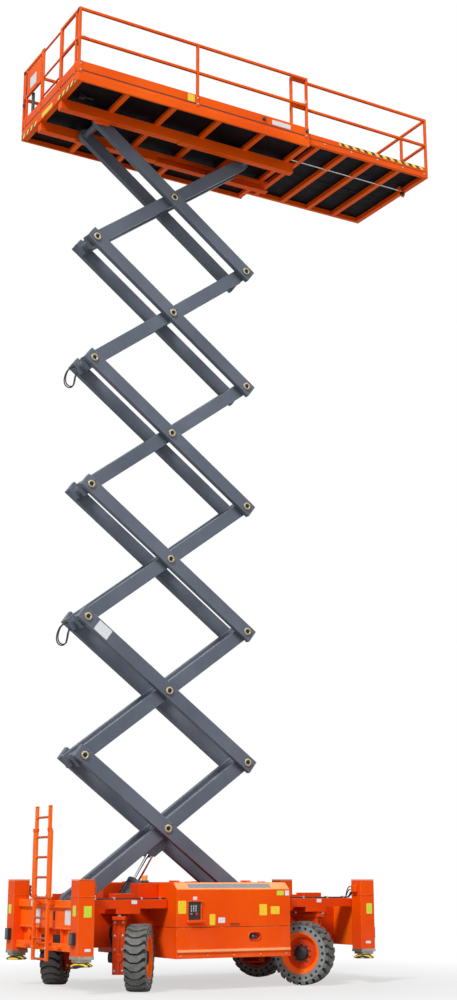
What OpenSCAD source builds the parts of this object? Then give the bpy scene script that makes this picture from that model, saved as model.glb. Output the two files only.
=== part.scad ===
// Self-propelled scissor lift with a six-stage stack, four steered wheels and a roll-out deck.
// X runs along the machine towards the roll-out end, Y away from the control side, Z up.

/* [Stack] */
// arm length from end pin to end pin
arm_len = 3400; // [3200:10:3500]
// arm angle above level as it stands
arm_angle = 36.5; // [30:0.5:45]
// arm beam depth
arm_depth = 205; // [160:5:210]
// how far a square arm end reaches past its pin
arm_end = 125; // [110:1:130]
// arm beam thickness
arm_thick = 90; // [60:5:100]
// half of the clear space between the two inner beams
stack_clear = 125; // [118:1:135]
// side gap between inner and outer beams
side_gap = 10; // [6:1:12]
// pivot pin radius
pin_r = 45; // [35:1:50]
// cross tube radius around a pin
tube_r = 68; // [58:1:75]
// pin head radius
head_r = 58; // [52:1:64]
// pin head thickness
head_t = 12; // [8:1:14]
// height of the lowest pivots
base_z = 1200; // [1180:5:1240]
// radius of the rolling ends
roller_r = 52; // [48:1:54]

/* [Chassis] */
// distance between front and rear kingpins
wheel_base = 3100; // [3080:10:3140]
// kingpin distance from the middle plane
king_y = 800; // [795:1:810]
// half width over the main beams
frame_half = 470; // [460:1:472]
// underside of the main beams
beam_low = 640; // [600:10:700]
// top of the main beams
beam_top = 1080; // [1060:5:1090]
// thickness of the floor plate
floor_t = 70; // [40:5:90]
// outer face of the side cabinets from the middle plane
cab_out = 1250; // [1200:5:1260]
// underside of the cabinets
cab_low = 430; // [400:10:480]
// height of the seam between tray and hood
cab_seam = 840; // [780:10:900]
// height where the hood bevel starts
hood_bevel_z = 1350; // [1320:5:1370]
// top of the hood
hood_top = 1450; // [1430:5:1470]
// width of the hood bevel
hood_bevel = 120; // [60:5:160]
// sheet thickness of cabinets and hoods
sheet = 20; // [12:1:25]

/* [Wheels] */
// tyre radius over the lugs
tyre_r = 450; // [430:5:450]
// tyre width
tyre_w = 300; // [270:5:300]
// tyre lug height
lug_h = 26; // [15:1:32]
// number of lugs on each shoulder
lug_n = 24; // [16:1:26]
// rim radius where the tyre sits
rim_r = 295; // [280:1:310]
// wheel middle from the kingpin
wheel_off = 250; // [245:1:255]
// gap between a turning tyre and the cabinet
arch_gap = 17; // [10:1:40]
// how far the wheels are turned as it stands
steer_rest = 54; // [40:1:54]

/* [Jacks] */
// jack post distance from the middle plane
post_y = 1130; // [1125:1:1135]
// jack post outer width
post_w = 240; // [220:2:240]
// underside of the jack posts
post_low = 460; // [420:5:500]
// top of the jack posts
post_top = 1480; // [1440:5:1500]
// foot plate radius
foot_r = 150; // [120:5:160]

/* [Platform] */
// ladder end of the platform from the machine middle
plat_back = 2720; // [2700:10:2760]
// roll-out end of the main deck from the machine middle
plat_front = 1550; // [1540:10:1600]
// half width of the platform
plat_half = 1120; // [1110:5:1140]
// toe board height with the edge beam
edge_h = 350; // [320:5:380]
// guard rail height above the edge underside
rail_h = 1280; // [1240:5:1320]
// guard rail tube width
rail_w = 40; // [34:1:46]
// end of the rolled-out deck from the machine middle
ext_front = 4100; // [4000:10:4150]
// how far the roll-out deck stays inside the main deck
ext_overlap = 350; // [300:10:420]
// gap between the roll-out deck and the main edge boards
ext_gap = 25; // [20:1:30]

/* [Ladder] */
// ladder top height
ladder_top = 2500; // [2300:10:2510]
// half distance between the stiles
ladder_half = 235; // [200:5:245]
// distance between rungs
rung_gap = 275; // [250:5:300]

/* [Hidden] */

// running clearance of pins in bores
fit = 0.05;
// working clearance between moving pieces
work = 6;
// clearance of a sliding leg in its post
slide_fit = 0.5;
// clearance of a roller in its track
roll_fit = 1;
// the machine is centred over the ground by this shift
shift_x = (plat_back - ext_front) / 2;

// reach of a turning tyre from its kingpin
sweep = ceil(norm([wheel_off + tyre_w / 2, tyre_r]));
cab_half = wheel_base / 2 - sweep - arch_gap;
post_gap = arch_gap + 10;
post_x = wheel_base / 2 + sweep + post_gap + post_w / 2;
end_t = 80;
beam_half = post_x - end_t;
base_set = 350;
base_back = post_x - base_set;
stages = 6;
stage_h = arm_len * sin(arm_angle);
stage_w = arm_len * cos(arm_angle);
top_z = base_z + stages * stage_h;
in_a = stack_clear;
in_b = in_a + arm_thick;
out_a = in_b + side_gap;
out_b = out_a + arm_thick;
steel = [0.42, 0.45, 0.49];
orange = [0.92, 0.32, 0.05];
black = [0.08, 0.08, 0.09];
rubber = [0.25, 0.26, 0.26];
grey = [0.55, 0.57, 0.6];

beam_w = 120;
beam_in = frame_half - beam_w;
track_t = 16;
track_web = 20;
track_half = roller_r + roll_fit;
track_top = track_half + track_t;
track_lead = 1390;
track_a = track_lead - base_back;
track_tail = 190;
track_b = arm_len - base_back + track_tail;
pivot_half = 130;
pivot_t = 50;
pivot_rise = 90;
pivot_out = beam_in + pivot_t;

barrel_lead = 550;
barrel_x = barrel_lead - base_back;
barrel_z = 740;
barrel_r = 105;
barrel_len = 860;
barrel_eye_r = 80;
barrel_eye_half = 106;
barrel_pin_r = 35;
ear_t = 24;
ear_half = 110;
ear_gap = 8;
rod_r = 55;
rod_len = 860;
rod_eye_r = 60;
rod_eye_half = 108;
gland_len = 70;
bore_start = 112;
bore_gap = 8;
eye_back = 250;
eye_u = arm_len / 2 - eye_back;
eye_lug_half = 260;
eye_lug_long = 680;
eye_lug_tip = 90;
eye_lug_drop = 60;
eye_v = 190;
lug_t = 22;
eye_x = -base_back + eye_u * cos(arm_angle) + eye_v * sin(arm_angle);
eye_z = base_z + eye_u * sin(arm_angle) - eye_v * cos(arm_angle);
cyl_len = norm([eye_x - barrel_x, eye_z - barrel_z]);
cyl_angle = atan2(eye_z - barrel_z, eye_x - barrel_x);

axle_half = 180;
axle_low = 1030;
rail_low = 1100;
rail_top = 1220;
side_in = 720;
side_out = 1000;
king_r = 50;
king_cap_r = 80;
king_cap_t = 20;
cover_half = 150;
cover_w = 110;
cover_h = 80;
lever_half = 260;
lever_w = 90;
lever_low = 955;
lever_top = 1000;
upright_half = 150;
upright_out = 75;
upright_in = 95;
plate_t = 28;
motor_r = 95;
flange_r = 190;
flange_t = 22;
upright_low = 230;
hub_r = 160;
stub_r = 45;
disc_t = 18;
disc_y = wheel_off + 50;
hub_gap = 10;
rim_t = 30;
rim_half = 135;
cap_r = 72;
cap_t = 52;
lug_w = 68;
lug_len = tyre_w * 0.44;
lug_side = 3;
lug_root = 14;
lug_drop = 2;
lug_y = tyre_w / 2 - lug_side - lug_len / 2;
lug_mid_r = tyre_r - lug_drop - (lug_h + lug_root) / 2;

leg_w = post_w - 2 * sheet - 2 * slide_fit;
leg_low = 420;
leg_top = post_top - 120;
foot_t = 60;
foot_rim = 10;
foot_edge = 12;
foot_neck = 85;

end_in = post_x - end_t;
end_low = 540;
end_top = 1210;
bumper_t = 60;
bumper_h = 100;
beam_end_t = 40;
panel_z = 826;
panel_lip = 16;
end_half = post_y - post_w / 2;
rib_y = 420;
hook_y = 700;
hook_z = 730;
hook_r = 60;
tie_y = 560;
tie_t = 40;
tie_half = 55;
tie_z = end_low + (bumper_h - tie_t) / 2;
tie_x = post_x + bumper_t + tie_half;
tie_r = 25;
lamp_h = 160;
lamp_w = 120;
lamp_t = 50;
lamp_z = 640;
raised_len = 310;
raised_b = -cab_half - work - 4;
raised_a = raised_b - raised_len;
raised_out = 700;
raised_top = 1440;
beacon_r = 42;
beacon_h = 70;
beacon_base_r = 52;
beacon_base_h = 36;
engine_len = 1000;
engine_w = 460;
engine_h = 520;
engine_y = 860;
latch_in = 600;
latch_x = cab_half - latch_in;
latch_z = 712;
latch_r = 46;
latch_half = 45;
latch_rim = 14;
latch_deep = 60;
lip_low = 505;
lip_h = 45;
lip_t = 14;
panel_in = 190;
panel_len = 140;
panel_a = -cab_half + panel_in;
panel_b = panel_a + panel_len;
panel_low = 990;
panel_top = 1160;
panel_t = 14;
hinge_r = 14;
hinge_pin_r = 8;
hinge_len = 70;
hinge_at = 600;
hinge_half = 40;
hinge_y = frame_half + sheet / 2;
hinge_z = hood_top + 12;
hinge_arm = 30;

ladder_mid = -40;
ladder_x = post_x + 120;
ladder_t = 40;
ladder_w = 50;
ladder_low = 400;
guide_half = ladder_half + ladder_w;
guide_low = 1240;
guide_top = 2170;
rung_low = 20;
rung_r = 16;
hold_h = 60;

plat_low = top_z + 100;
plat_track_b = max(track_b, plat_front);
member_rise = arm_depth / 2 + 2 * work;
member_low = top_z + member_rise;
member_h = 65;
deck_low = member_low + member_h;
deck_t = 12;
deck_top = deck_low + deck_t;
member_w = 80;
members = 5;
edge_t = 20;
member_step = (plat_front + plat_back - edge_t - member_w) / members;
edge_lip_h = 130;
edge_lip = 12;
edge_in = plat_half - edge_t;
edge_top = plat_low + edge_h;
rail_top_z = plat_low + rail_h;
mid_rail_h = 780;
mid_rail_z = plat_low + mid_rail_h;
rail_mid_y = plat_half - edge_t / 2 - rail_w / 2;
post_mid = -600;
gate_a = -400;
gate_b = 320;
gate_r = 18;
gate_low = edge_top + 40;
gate_x = -plat_back + rail_w / 2;
gate_gap = 10;
gate_pin_r = 8;
gate_pin_in = 40;
ear_h = 12;
box_w = 260;
box_d = 160;
box_h = 240;
box_set = 900;
box_x = -plat_back + box_set;
box_y = rail_mid_y + edge_t - rail_w / 2;

ext_back = plat_front - ext_overlap;
ext_len = ext_front - ext_back;
ext_half = edge_in - ext_gap;
ext_low = deck_top + work;
ext_beam_w = 55;
ext_beam_h = 150;
ext_member_h = 80;
ext_step = (ext_len - member_w) / members;
ext_deck_z = ext_low + ext_member_h;
ext_deck_t = 14;
ext_pad = 260;
ext_toe_h = 190;
ext_toe = ext_low + ext_toe_h;
ext_toe_t = 12;
ext_rail_y = ext_half - rail_w / 2;
ext_rail_drop = 30;
ext_rail_top = rail_top_z - ext_rail_drop;
ext_rail_mid = mid_rail_z - ext_rail_drop;

// moves the machine so that its box stands over the ground point
module place() {
    translate([shift_x, 0, 0]) children();
}

// plain block between two corners
module block(x0, x1, y0, y1, z0, z1) {
    translate([x0, y0, z0]) cube([x1 - x0, y1 - y0, z1 - z0]);
}

// the piece and its mirror across the middle plane
module both_sides() {
    children();
    mirror([0, 1, 0]) children();
}

// the piece and its mirror at the other end
module both_ends() {
    children();
    mirror([1, 0, 0]) children();
}

// round bar across the machine between two distances from the middle plane
module cross_bar(x, z, r, y0, y1) {
    translate([x, y0, z]) rotate([-90, 0, 0]) cylinder(r = r, h = y1 - y0, $fn = 64);
}

// round bar along the machine between two places
module long_bar(y, z, r, x0, x1) {
    translate([x0, y, z]) rotate([0, 90, 0]) cylinder(r = r, h = x1 - x0, $fn = 48);
}

// one beam along X, each end square past its pin or round about it
module arm_beam(y0, y1, start, finish) {
    block(-start, arm_len + finish, y0, y1, -arm_depth / 2, arm_depth / 2);
    if (start == 0) cross_bar(0, 0, arm_depth / 2, y0, y1);
    if (finish == 0) cross_bar(arm_len, 0, arm_depth / 2, y0, y1);
}

// the three pin places of an arm
module at_pins() {
    for (u = [0, arm_len / 2, arm_len]) translate([u, 0, 0]) children();
}

// pair of inner beams and what it carries, with cross tubes, all bored for the pins
module inner_pair(start, finish) {
    difference() {
        union() {
            both_sides() arm_beam(in_a, in_b, start, finish);
            at_pins() cross_bar(0, 0, tube_r, -in_a - 1, in_a + 1);
            children();
        }
        at_pins() cross_bar(0, 0, pin_r + fit, -in_b - 1, in_b + 1);
    }
}

// pair of outer beams with the three pins that run in the inner pairs
module outer_pair(start, finish) {
    both_sides() arm_beam(out_a, out_b, start, finish);
    at_pins() cross_bar(0, 0, pin_r, -out_b, out_b);
    at_pins() both_sides() cross_bar(0, 0, head_r, out_b - 1, out_b + head_t);
}

// rolling end on a shaft through the pair
module rolling_end(inner_y) {
    cross_bar(0, 0, pin_r, -frame_half + track_web + work, frame_half - track_web - work);
    both_sides() cross_bar(0, 0, roller_r, beam_in + work, frame_half - track_web - work);
    both_sides() cross_bar(0, 0, head_r, inner_y, beam_in - work);
}

// places an inner pair of a stage, rising towards the roll-out end
module inner_at(n) {
    translate([-base_back, 0, base_z + (n - 1) * stage_h]) rotate([0, -arm_angle, 0]) children();
}

// places an outer pair of a stage, falling towards the roll-out end
module outer_at(n) {
    translate([-base_back, 0, base_z + n * stage_h]) rotate([0, arm_angle, 0]) children();
}

// lugs under the first inner pair that hold the lift rod
module rod_lugs() {
    both_sides() difference() {
        translate([eye_u, in_a, 0]) rotate([-90, 0, 0]) linear_extrude(lug_t) polygon([
            [-eye_lug_half, 0], [eye_lug_long, 0], [eye_lug_tip, eye_v + eye_lug_drop],
            [-eye_lug_tip, eye_v + eye_lug_drop]]);
        cross_bar(eye_u, -eye_v, barrel_pin_r, in_a + lug_t / 2, in_b);
    }
}

module inner_stage(n) {
    place() color(steel) inner_at(n) inner_pair(arm_end, arm_end);
}

module outer_stage(n) {
    place() color(steel) outer_at(n) outer_pair(arm_end, arm_end);
}

module inner_arms_1() {
    place() color(steel) inner_at(1) inner_pair(0, arm_end) rod_lugs();
}

module inner_arms_6() {
    place() color(steel) inner_at(stages) {
        inner_pair(arm_end, 0);
        translate([arm_len, 0, 0]) rolling_end(in_a);
    }
}

module outer_arms_1() {
    place() color(steel) outer_at(1) {
        outer_pair(arm_end, 0);
        translate([arm_len, 0, 0]) rolling_end(out_a);
    }
}

module outer_arms_6() {
    place() color(steel) outer_at(stages) {
        outer_pair(0, arm_end);
        cross_bar(0, 0, pin_r, -pivot_out, pivot_out);
    }
}

// grooved track for a rolling end, open towards the stack
module roller_track(low, high, tail) {
    both_sides() difference() {
        block(track_a, tail, beam_in, frame_half, low, high);
        block(track_a - 1, tail + 1, beam_in - 1, frame_half - track_web, -track_half, track_half);
    }
}

module chassis_frame() {
    place() color(orange) {
        both_sides() block(-beam_half, beam_half, beam_in, frame_half, beam_low, beam_top);
        block(-beam_half, beam_half, -frame_half, frame_half, beam_low - floor_t, beam_low);
        both_ends() block(beam_half - beam_w, beam_half, -frame_half, frame_half, beam_low, beam_top);
        translate([0, 0, base_z]) roller_track(beam_top - base_z - 1, track_top, track_b);
        both_sides() block(-base_back - pivot_half, -base_back + pivot_half, beam_in, pivot_out,
            beam_top - 1, base_z + pivot_rise);
        cross_bar(-base_back, base_z, pin_r, -pivot_out, pivot_out);
        both_sides() block(barrel_x - ear_half, barrel_x + ear_half, barrel_eye_half + ear_gap,
            barrel_eye_half + ear_gap + ear_t, beam_low - 1, barrel_z + ear_half);
        cross_bar(barrel_x, barrel_z, barrel_pin_r, -barrel_eye_half - ear_gap - ear_t,
            barrel_eye_half + ear_gap + ear_t);
        both_ends() both_sides() axle_arm();
        both_sides() block(raised_a, raised_b, frame_half - 1, raised_out, rail_top - 1, raised_top);
        both_sides() block(raised_a, raised_b, frame_half - track_web, frame_half, beam_top - 1, raised_top);
    }
}

// side rail over a wheel with the kingpin seat
module axle_arm() {
    difference() {
        union() {
            block(wheel_base / 2 - axle_half, wheel_base / 2 + axle_half, frame_half - 1, side_out,
                axle_low, rail_top);
            block(cab_half + work + 4, post_x - post_w / 2, side_in, side_out, rail_low, rail_top);
            block(cab_half + work + 4, cab_half + work + 4 + axle_half, frame_half - 1, side_out,
                rail_low, rail_top);
            block(cab_half + work + 4, post_x - post_w / 2, frame_half - track_web, frame_half,
                beam_top - 1, rail_top);
            block(wheel_base / 2 - cover_half, wheel_base / 2 + cover_half, king_y - cover_w,
                king_y + cover_w, rail_top - 1, rail_top + cover_h);
        }
        translate([wheel_base / 2, king_y, axle_low - 1])
            cylinder(r = king_r + fit, h = rail_top - axle_low + 2, $fn = 64);
        translate([wheel_base / 2, king_y, rail_top])
            cylinder(r = king_cap_r + work, h = king_cap_t + 2 * work, $fn = 64);
    }
}

// end wall between the jack posts: panel, recess, bumper, top beam and lashing eyes
module end_frame() {
    block(end_in, post_x, -end_half, end_half, panel_z, end_top);
    block(end_in, end_in + sheet, -end_half, end_half, end_low, panel_z + 1);
    block(end_in, post_x + bumper_t, -end_half, end_half, end_low, end_low + bumper_h);
    block(post_x - 1, post_x + beam_end_t, -end_half, end_half, end_top - bumper_h, end_top);
    block(post_x - 1, post_x + panel_lip, -end_half, end_half, panel_z, panel_z + panel_lip);
    for (y = [-rib_y, 0, rib_y]) block(end_in, post_x - 1, y - sheet / 2, y + sheet / 2,
        end_low + bumper_h - 1, panel_z + 1);
    both_sides() {
        block(end_in, post_x, hook_y - hook_r / 2, hook_y + hook_r / 2, hook_z, panel_z + 1);
        long_bar(hook_y, hook_z, hook_r, end_in, post_x);
        tie_eye();
    }
}

// flat lashing eye on the bumper with an upright hole
module tie_eye() {
    difference() {
        union() {
            block(post_x + bumper_t - 1, tie_x, tie_y - tie_half, tie_y + tie_half, tie_z, tie_z + tie_t);
            translate([tie_x, tie_y, tie_z]) cylinder(r = tie_half, h = tie_t, $fn = 64);
        }
        translate([tie_x, tie_y, tie_z - 1]) cylinder(r = tie_r, h = tie_t + 2, $fn = 64);
    }
}

module end_frames() {
    place() color(orange) both_ends() end_frame();
}

module jack_posts() {
    place() color(orange) both_ends() both_sides() difference() {
        block(post_x - post_w / 2, post_x + post_w / 2, post_y - post_w / 2, post_y + post_w / 2,
            post_low, post_top);
        block(post_x - post_w / 2 + sheet, post_x + post_w / 2 - sheet, post_y - post_w / 2 + sheet,
            post_y + post_w / 2 - sheet, post_low - 1, post_top - sheet);
    }
}

// sliding leg with its foot plate at one corner
module leg(ex, sy) {
    place() color(grey) translate([ex * post_x, sy * post_y, 0]) {
        block(-leg_w / 2, leg_w / 2, -leg_w / 2, leg_w / 2, leg_low - 1, leg_top);
        translate([0, 0, leg_low - foot_t]) rotate_extrude($fn = 64) polygon([[0, 0], [foot_r - foot_rim, 0],
            [foot_r, foot_rim], [foot_r, foot_rim + foot_edge], [foot_neck, foot_t], [0, foot_t]]);
    }
}

// oval bar through the cabinet face for the latch
module latch_oval(r, y0, y1) {
    for (x = [latch_x - latch_half, latch_x + latch_half]) cross_bar(x, latch_z, r, y0, y1);
    block(latch_x - latch_half, latch_x + latch_half, y0, y1, latch_z - r, latch_z + r);
}

// cabinet face with its latch cup, rim and lower lip
module cabinet_face() {
    difference() {
        union() {
            block(-cab_half, cab_half, cab_out - sheet, cab_out, cab_low, cab_seam);
            latch_oval(latch_r + latch_rim, cab_out - latch_deep, cab_out + latch_rim / 2);
        }
        latch_oval(latch_r, cab_out - latch_deep + latch_rim, cab_out + latch_rim);
    }
    block(-cab_half, cab_half, cab_out - 1, cab_out + lip_t, lip_low, lip_low + lip_h);
}

// open-topped tray with a back wall along the main beam
module cabinet_tray() {
    block(-cab_half, cab_half, frame_half, cab_out, cab_low, cab_low + sheet);
    cabinet_face();
    both_ends() block(cab_half - sheet, cab_half, frame_half, cab_out, cab_low, cab_seam);
    block(-cab_half, cab_half, frame_half, frame_half + sheet, cab_low, hood_top - work);
    for (x = [-hinge_at, hinge_at]) {
        block(x - hinge_half, x + hinge_half, frame_half, frame_half + sheet, hood_top - work - 1,
            hinge_z + hinge_r);
        long_bar(hinge_y, hinge_z, hinge_pin_r, x, x + hinge_half + work + hinge_len);
    }
}

// hood outline across the machine, shrunk by a wall thickness
module hood_shape(t) {
    polygon([[frame_half + sheet + work, cab_seam + work - t], [cab_out - t, cab_seam + work - t],
        [cab_out - t, hood_bevel_z - t / 2], [cab_out - hood_bevel - t / 2, hood_top - t],
        [frame_half + sheet + work, hood_top - t]]);
}

// hood shell lifted on its inner top edge
module hood_shell() {
    rotate([90, 0, 90]) difference() {
        translate([0, 0, -cab_half]) linear_extrude(2 * cab_half) hood_shape(0);
        translate([-1, 0, -cab_half + sheet]) linear_extrude(2 * cab_half - 2 * sheet) hood_shape(sheet);
    }
    for (x = [-hinge_at, hinge_at]) translate([x + hinge_half + work, 0, 0]) difference() {
        union() {
            long_bar(hinge_y, hinge_z, hinge_r, 0, hinge_len);
            block(0, hinge_len, hinge_y, frame_half + sheet + work + hinge_arm, hood_top - 1, hinge_z);
        }
        long_bar(hinge_y, hinge_z, hinge_pin_r + fit, -1, hinge_len + 1);
    }
}

module cabinet_near() {
    place() color(orange) mirror([0, 1, 0]) cabinet_tray();
}

module cabinet_far() {
    place() color(orange) cabinet_tray();
}

module hood_near() {
    place() color(orange) mirror([0, 1, 0]) hood_shell();
}

module hood_far() {
    place() color(orange) hood_shell();
}

module engine_block() {
    place() color(black) block(-engine_len / 2, engine_len / 2, engine_y - engine_w / 2,
        engine_y + engine_w / 2, cab_low + sheet, cab_low + sheet + engine_h);
}

module ground_controls() {
    place() color(black) block(panel_a, panel_b, -cab_out - panel_t, -cab_out, panel_low, panel_top);
}

// pair of upright bars on the ladder between two heights
module stile_pair(half, z0, z1) {
    for (s = [-1, 1]) block(-ladder_x - ladder_t, -ladder_x, ladder_mid + s * half - ladder_w / 2,
        ladder_mid + s * half + ladder_w / 2, z0, z1);
}

// pair of short holders from the ladder to the end wall
module ladder_hold(x1, z0) {
    for (s = [-1, 1]) block(-ladder_x - 1, x1, ladder_mid + s * ladder_half - ladder_w / 2,
        ladder_mid + s * ladder_half + ladder_w / 2, z0, z0 + hold_h);
}

module ladder() {
    place() color(orange) {
        stile_pair(ladder_half, ladder_low, ladder_top);
        stile_pair(guide_half - 1, guide_low, guide_top);
        for (z = [ladder_low + rung_low : rung_gap : ladder_top]) cross_bar(-ladder_x - ladder_t / 2, z,
            rung_r, ladder_mid - ladder_half, ladder_mid + ladder_half);
        ladder_hold(-post_x - beam_end_t, end_top - hold_h);
        ladder_hold(-post_x - bumper_t, end_low);
    }
}

module lamps() {
    place() color(black) both_ends() both_sides() block(post_x + post_w / 2, post_x + post_w / 2 + lamp_t,
        post_y - lamp_w / 2, post_y + lamp_w / 2, lamp_z, lamp_z + lamp_h);
}

module beacon() {
    place() color(orange) translate([(raised_a + raised_b) / 2, -(frame_half + raised_out) / 2, raised_top]) {
        cylinder(r = beacon_base_r, h = beacon_base_h, $fn = 48);
        cylinder(r = beacon_r, h = beacon_base_h + beacon_h, $fn = 48);
    }
}

// turns a wheel piece drawn at the kingpin, facing the control side, to its corner
module corner(ex, sy) {
    place() mirror([ex > 0 ? 1 : 0, 0, 0]) translate([-wheel_base / 2, 0, 0])
        rotate([0, 0, sy > 0 ? 180 : 0]) translate([0, -king_y, 0]) rotate([0, 0, steer_rest]) children();
}

// steered upright with kingpin, steering lever and drive hub
module knuckle(ex, sy) {
    color(orange) corner(ex, sy) {
        translate([0, 0, lever_top - 1]) cylinder(r = king_r, h = rail_top + work + 2 - lever_top, $fn = 64);
        translate([0, 0, rail_top + work]) cylinder(r = king_cap_r, h = king_cap_t, $fn = 64);
        block(-lever_half, lever_half, -lever_w, lever_w, lever_low, lever_top);
        block(-upright_half, upright_half, -upright_out, -upright_out + plate_t, upright_low, lever_low + 1);
        for (s = [-1, 1]) block(s * upright_half - plate_t / 2, s * upright_half + plate_t / 2, -upright_out,
            upright_in, upright_low, lever_low + 1);
        block(-upright_half, upright_half, -upright_out, upright_in, upright_low, upright_low + plate_t);
        cross_bar(0, tyre_r, motor_r, -upright_out, upright_in);
        cross_bar(0, tyre_r, flange_r, -upright_out - flange_t, -upright_out + 1);
        cross_bar(0, tyre_r, hub_r, -disc_y + hub_gap, -upright_out + 1);
        cross_bar(0, tyre_r, stub_r, -disc_y - disc_t + 2, -disc_y + hub_gap + 1);
    }
}

// tyre with two rows of shoulder lugs
module tyre(ex, sy) {
    color(rubber) corner(ex, sy) translate([0, -wheel_off, tyre_r]) {
        difference() {
            cross_bar(0, 0, tyre_r - lug_h, -tyre_w / 2, tyre_w / 2);
            cross_bar(0, 0, rim_r, -tyre_w, tyre_w);
        }
        for (s = [-1, 1]) for (i = [0 : lug_n - 1]) rotate([0, 360 * (i + s / 4) / lug_n, 0])
            translate([0, s * lug_y, lug_mid_r]) cube([lug_w, lug_len, lug_h + lug_root], center = true);
    }
}

// rim barrel with disc and hub cap
module rim(ex, sy) {
    color(orange) corner(ex, sy) translate([0, 0, tyre_r]) {
        difference() {
            cross_bar(0, 0, rim_r, -wheel_off - rim_half, -wheel_off + rim_half);
            cross_bar(0, 0, rim_r - rim_t, -wheel_off - rim_half - 1, -wheel_off + rim_half + 1);
        }
        difference() {
            cross_bar(0, 0, rim_r - rim_t + 1, -disc_y - disc_t, -disc_y);
            cross_bar(0, 0, stub_r + fit, -disc_y - disc_t - 1, -disc_y + 1);
        }
        cross_bar(0, 0, cap_r, -disc_y - disc_t - cap_t, -disc_y - disc_t + 1);
    }
}

// places a cylinder piece drawn along X from the lower eye
module cylinder_at() {
    place() translate([barrel_x, 0, barrel_z]) rotate([0, -cyl_angle, 0]) children();
}

module lift_barrel() {
    cylinder_at() color(grey) difference() {
        union() {
            cross_bar(0, 0, barrel_eye_r, -barrel_eye_half, barrel_eye_half);
            translate([0, 0, 0]) rotate([0, 90, 0]) cylinder(r = barrel_r, h = barrel_len, $fn = 64);
        }
        cross_bar(0, 0, barrel_pin_r + fit, -barrel_eye_half - 1, barrel_eye_half + 1);
        translate([bore_start, 0, 0]) rotate([0, 90, 0])
            cylinder(r = rod_r + bore_gap, h = barrel_len - bore_start - gland_len, $fn = 64);
        translate([bore_start, 0, 0]) rotate([0, 90, 0])
            cylinder(r = rod_r + fit, h = barrel_len - bore_start + 1, $fn = 64);
    }
}

module lift_rod() {
    cylinder_at() color(grey) {
        translate([cyl_len - rod_len, 0, 0]) rotate([0, 90, 0]) cylinder(r = rod_r, h = rod_len, $fn = 64);
        cross_bar(cyl_len, 0, rod_eye_r, -rod_eye_half, rod_eye_half);
    }
}

// main platform under-frame with pivots and tracks
module platform_frame() {
    place() color(orange) {
        translate([0, 0, top_z]) roller_track(-track_top, member_rise, plat_track_b);
        both_sides() difference() {
            union() {
                block(-plat_back + edge_t, track_a + 1, beam_in, frame_half, top_z - track_half, member_low);
                block(-base_back - pivot_half, -base_back + pivot_half, beam_in, pivot_out,
                    top_z - pivot_rise, top_z);
            }
            cross_bar(-base_back, top_z, pin_r + fit, beam_in - 1, pivot_out + roll_fit);
        }
        for (i = [0 : members]) translate([-plat_back + edge_t + i * member_step, 0, 0])
            block(0, member_w, -edge_in, edge_in, member_low - 1, deck_low);
    }
}

module platform_deck() {
    place() color(black) block(-plat_back + edge_t, plat_front, -edge_in, edge_in, deck_low, deck_top);
}

// edge boards along both sides and the ladder end
module platform_edges() {
    place() color(orange) {
        both_sides() block(-plat_back, plat_front, edge_in, plat_half, plat_low, edge_top);
        both_sides() block(-plat_back, plat_front, plat_half - 1, plat_half + edge_lip, plat_low,
            plat_low + edge_lip_h);
        block(-plat_back, -plat_back + edge_t, -plat_half, plat_half, plat_low, edge_top);
    }
}

// upright rail post
module rail_post(x, y, z0, z1) {
    block(x - rail_w / 2, x + rail_w / 2, y - rail_w / 2, y + rail_w / 2, z0, z1);
}

module platform_rails() {
    place() color(orange) {
        both_sides() {
            for (x = [gate_x, post_mid, plat_front - rail_w]) rail_post(x, rail_mid_y + edge_t, edge_top,
                rail_top_z);
            for (z = [mid_rail_z, rail_top_z]) block(gate_x - rail_w / 2, plat_front - rail_w / 2,
                rail_mid_y + edge_t - rail_w / 2, rail_mid_y + edge_t + rail_w / 2, z - rail_w, z);
        }
        for (y = [gate_a - gate_gap - rail_w / 2, gate_b + gate_gap + rail_w / 2])
            rail_post(gate_x, y, edge_top, rail_top_z);
        for (z = [mid_rail_z, rail_top_z]) {
            block(gate_x - rail_w / 2, gate_x + rail_w / 2, -rail_mid_y - edge_t, gate_a - gate_gap,
                z - rail_w, z);
            block(gate_x - rail_w / 2, gate_x + rail_w / 2, gate_b + gate_gap, rail_mid_y + edge_t,
                z - rail_w, z);
        }
        for (z = [gate_low - work - ear_h, rail_top_z + work]) block(gate_x - gate_r, gate_x + gate_r,
            gate_b - 2 * gate_r, gate_b + gate_gap + rail_w / 2, z, z + ear_h);
        rail_post(gate_x, gate_b + gate_gap + rail_w / 2, rail_top_z - 1, rail_top_z + work + ear_h);
        translate([gate_x, gate_b - gate_r, gate_low - work - 1])
            cylinder(r = gate_pin_r, h = gate_pin_in + work, $fn = 32);
        translate([gate_x, gate_b - gate_r, rail_top_z - gate_pin_in])
            cylinder(r = gate_pin_r, h = gate_pin_in + work + 1, $fn = 32);
    }
}

// swing gate over the ladder, hung on its far stile
module gate() {
    place() color(orange) difference() {
        union() {
            for (y = [gate_a + gate_r, gate_b - gate_r]) translate([gate_x, y, gate_low])
                cylinder(r = gate_r, h = rail_top_z - gate_low, $fn = 32);
            for (z = [gate_low + 2 * gate_r, mid_rail_z - gate_r, rail_top_z - 2 * gate_r])
                cross_bar(gate_x, z, gate_r * 0.9, gate_a + gate_r, gate_b - gate_r);
        }
        translate([gate_x, gate_b - gate_r, gate_low - 1])
            cylinder(r = gate_pin_r + fit, h = gate_pin_in + work + 1, $fn = 32);
        translate([gate_x, gate_b - gate_r, rail_top_z - gate_pin_in - work])
            cylinder(r = gate_pin_r + fit, h = gate_pin_in + work + 1, $fn = 32);
    }
}

module platform_controls() {
    place() color(black) block(box_x, box_x + box_w, box_y - box_d, box_y, rail_top_z - box_h, rail_top_z);
}

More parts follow.
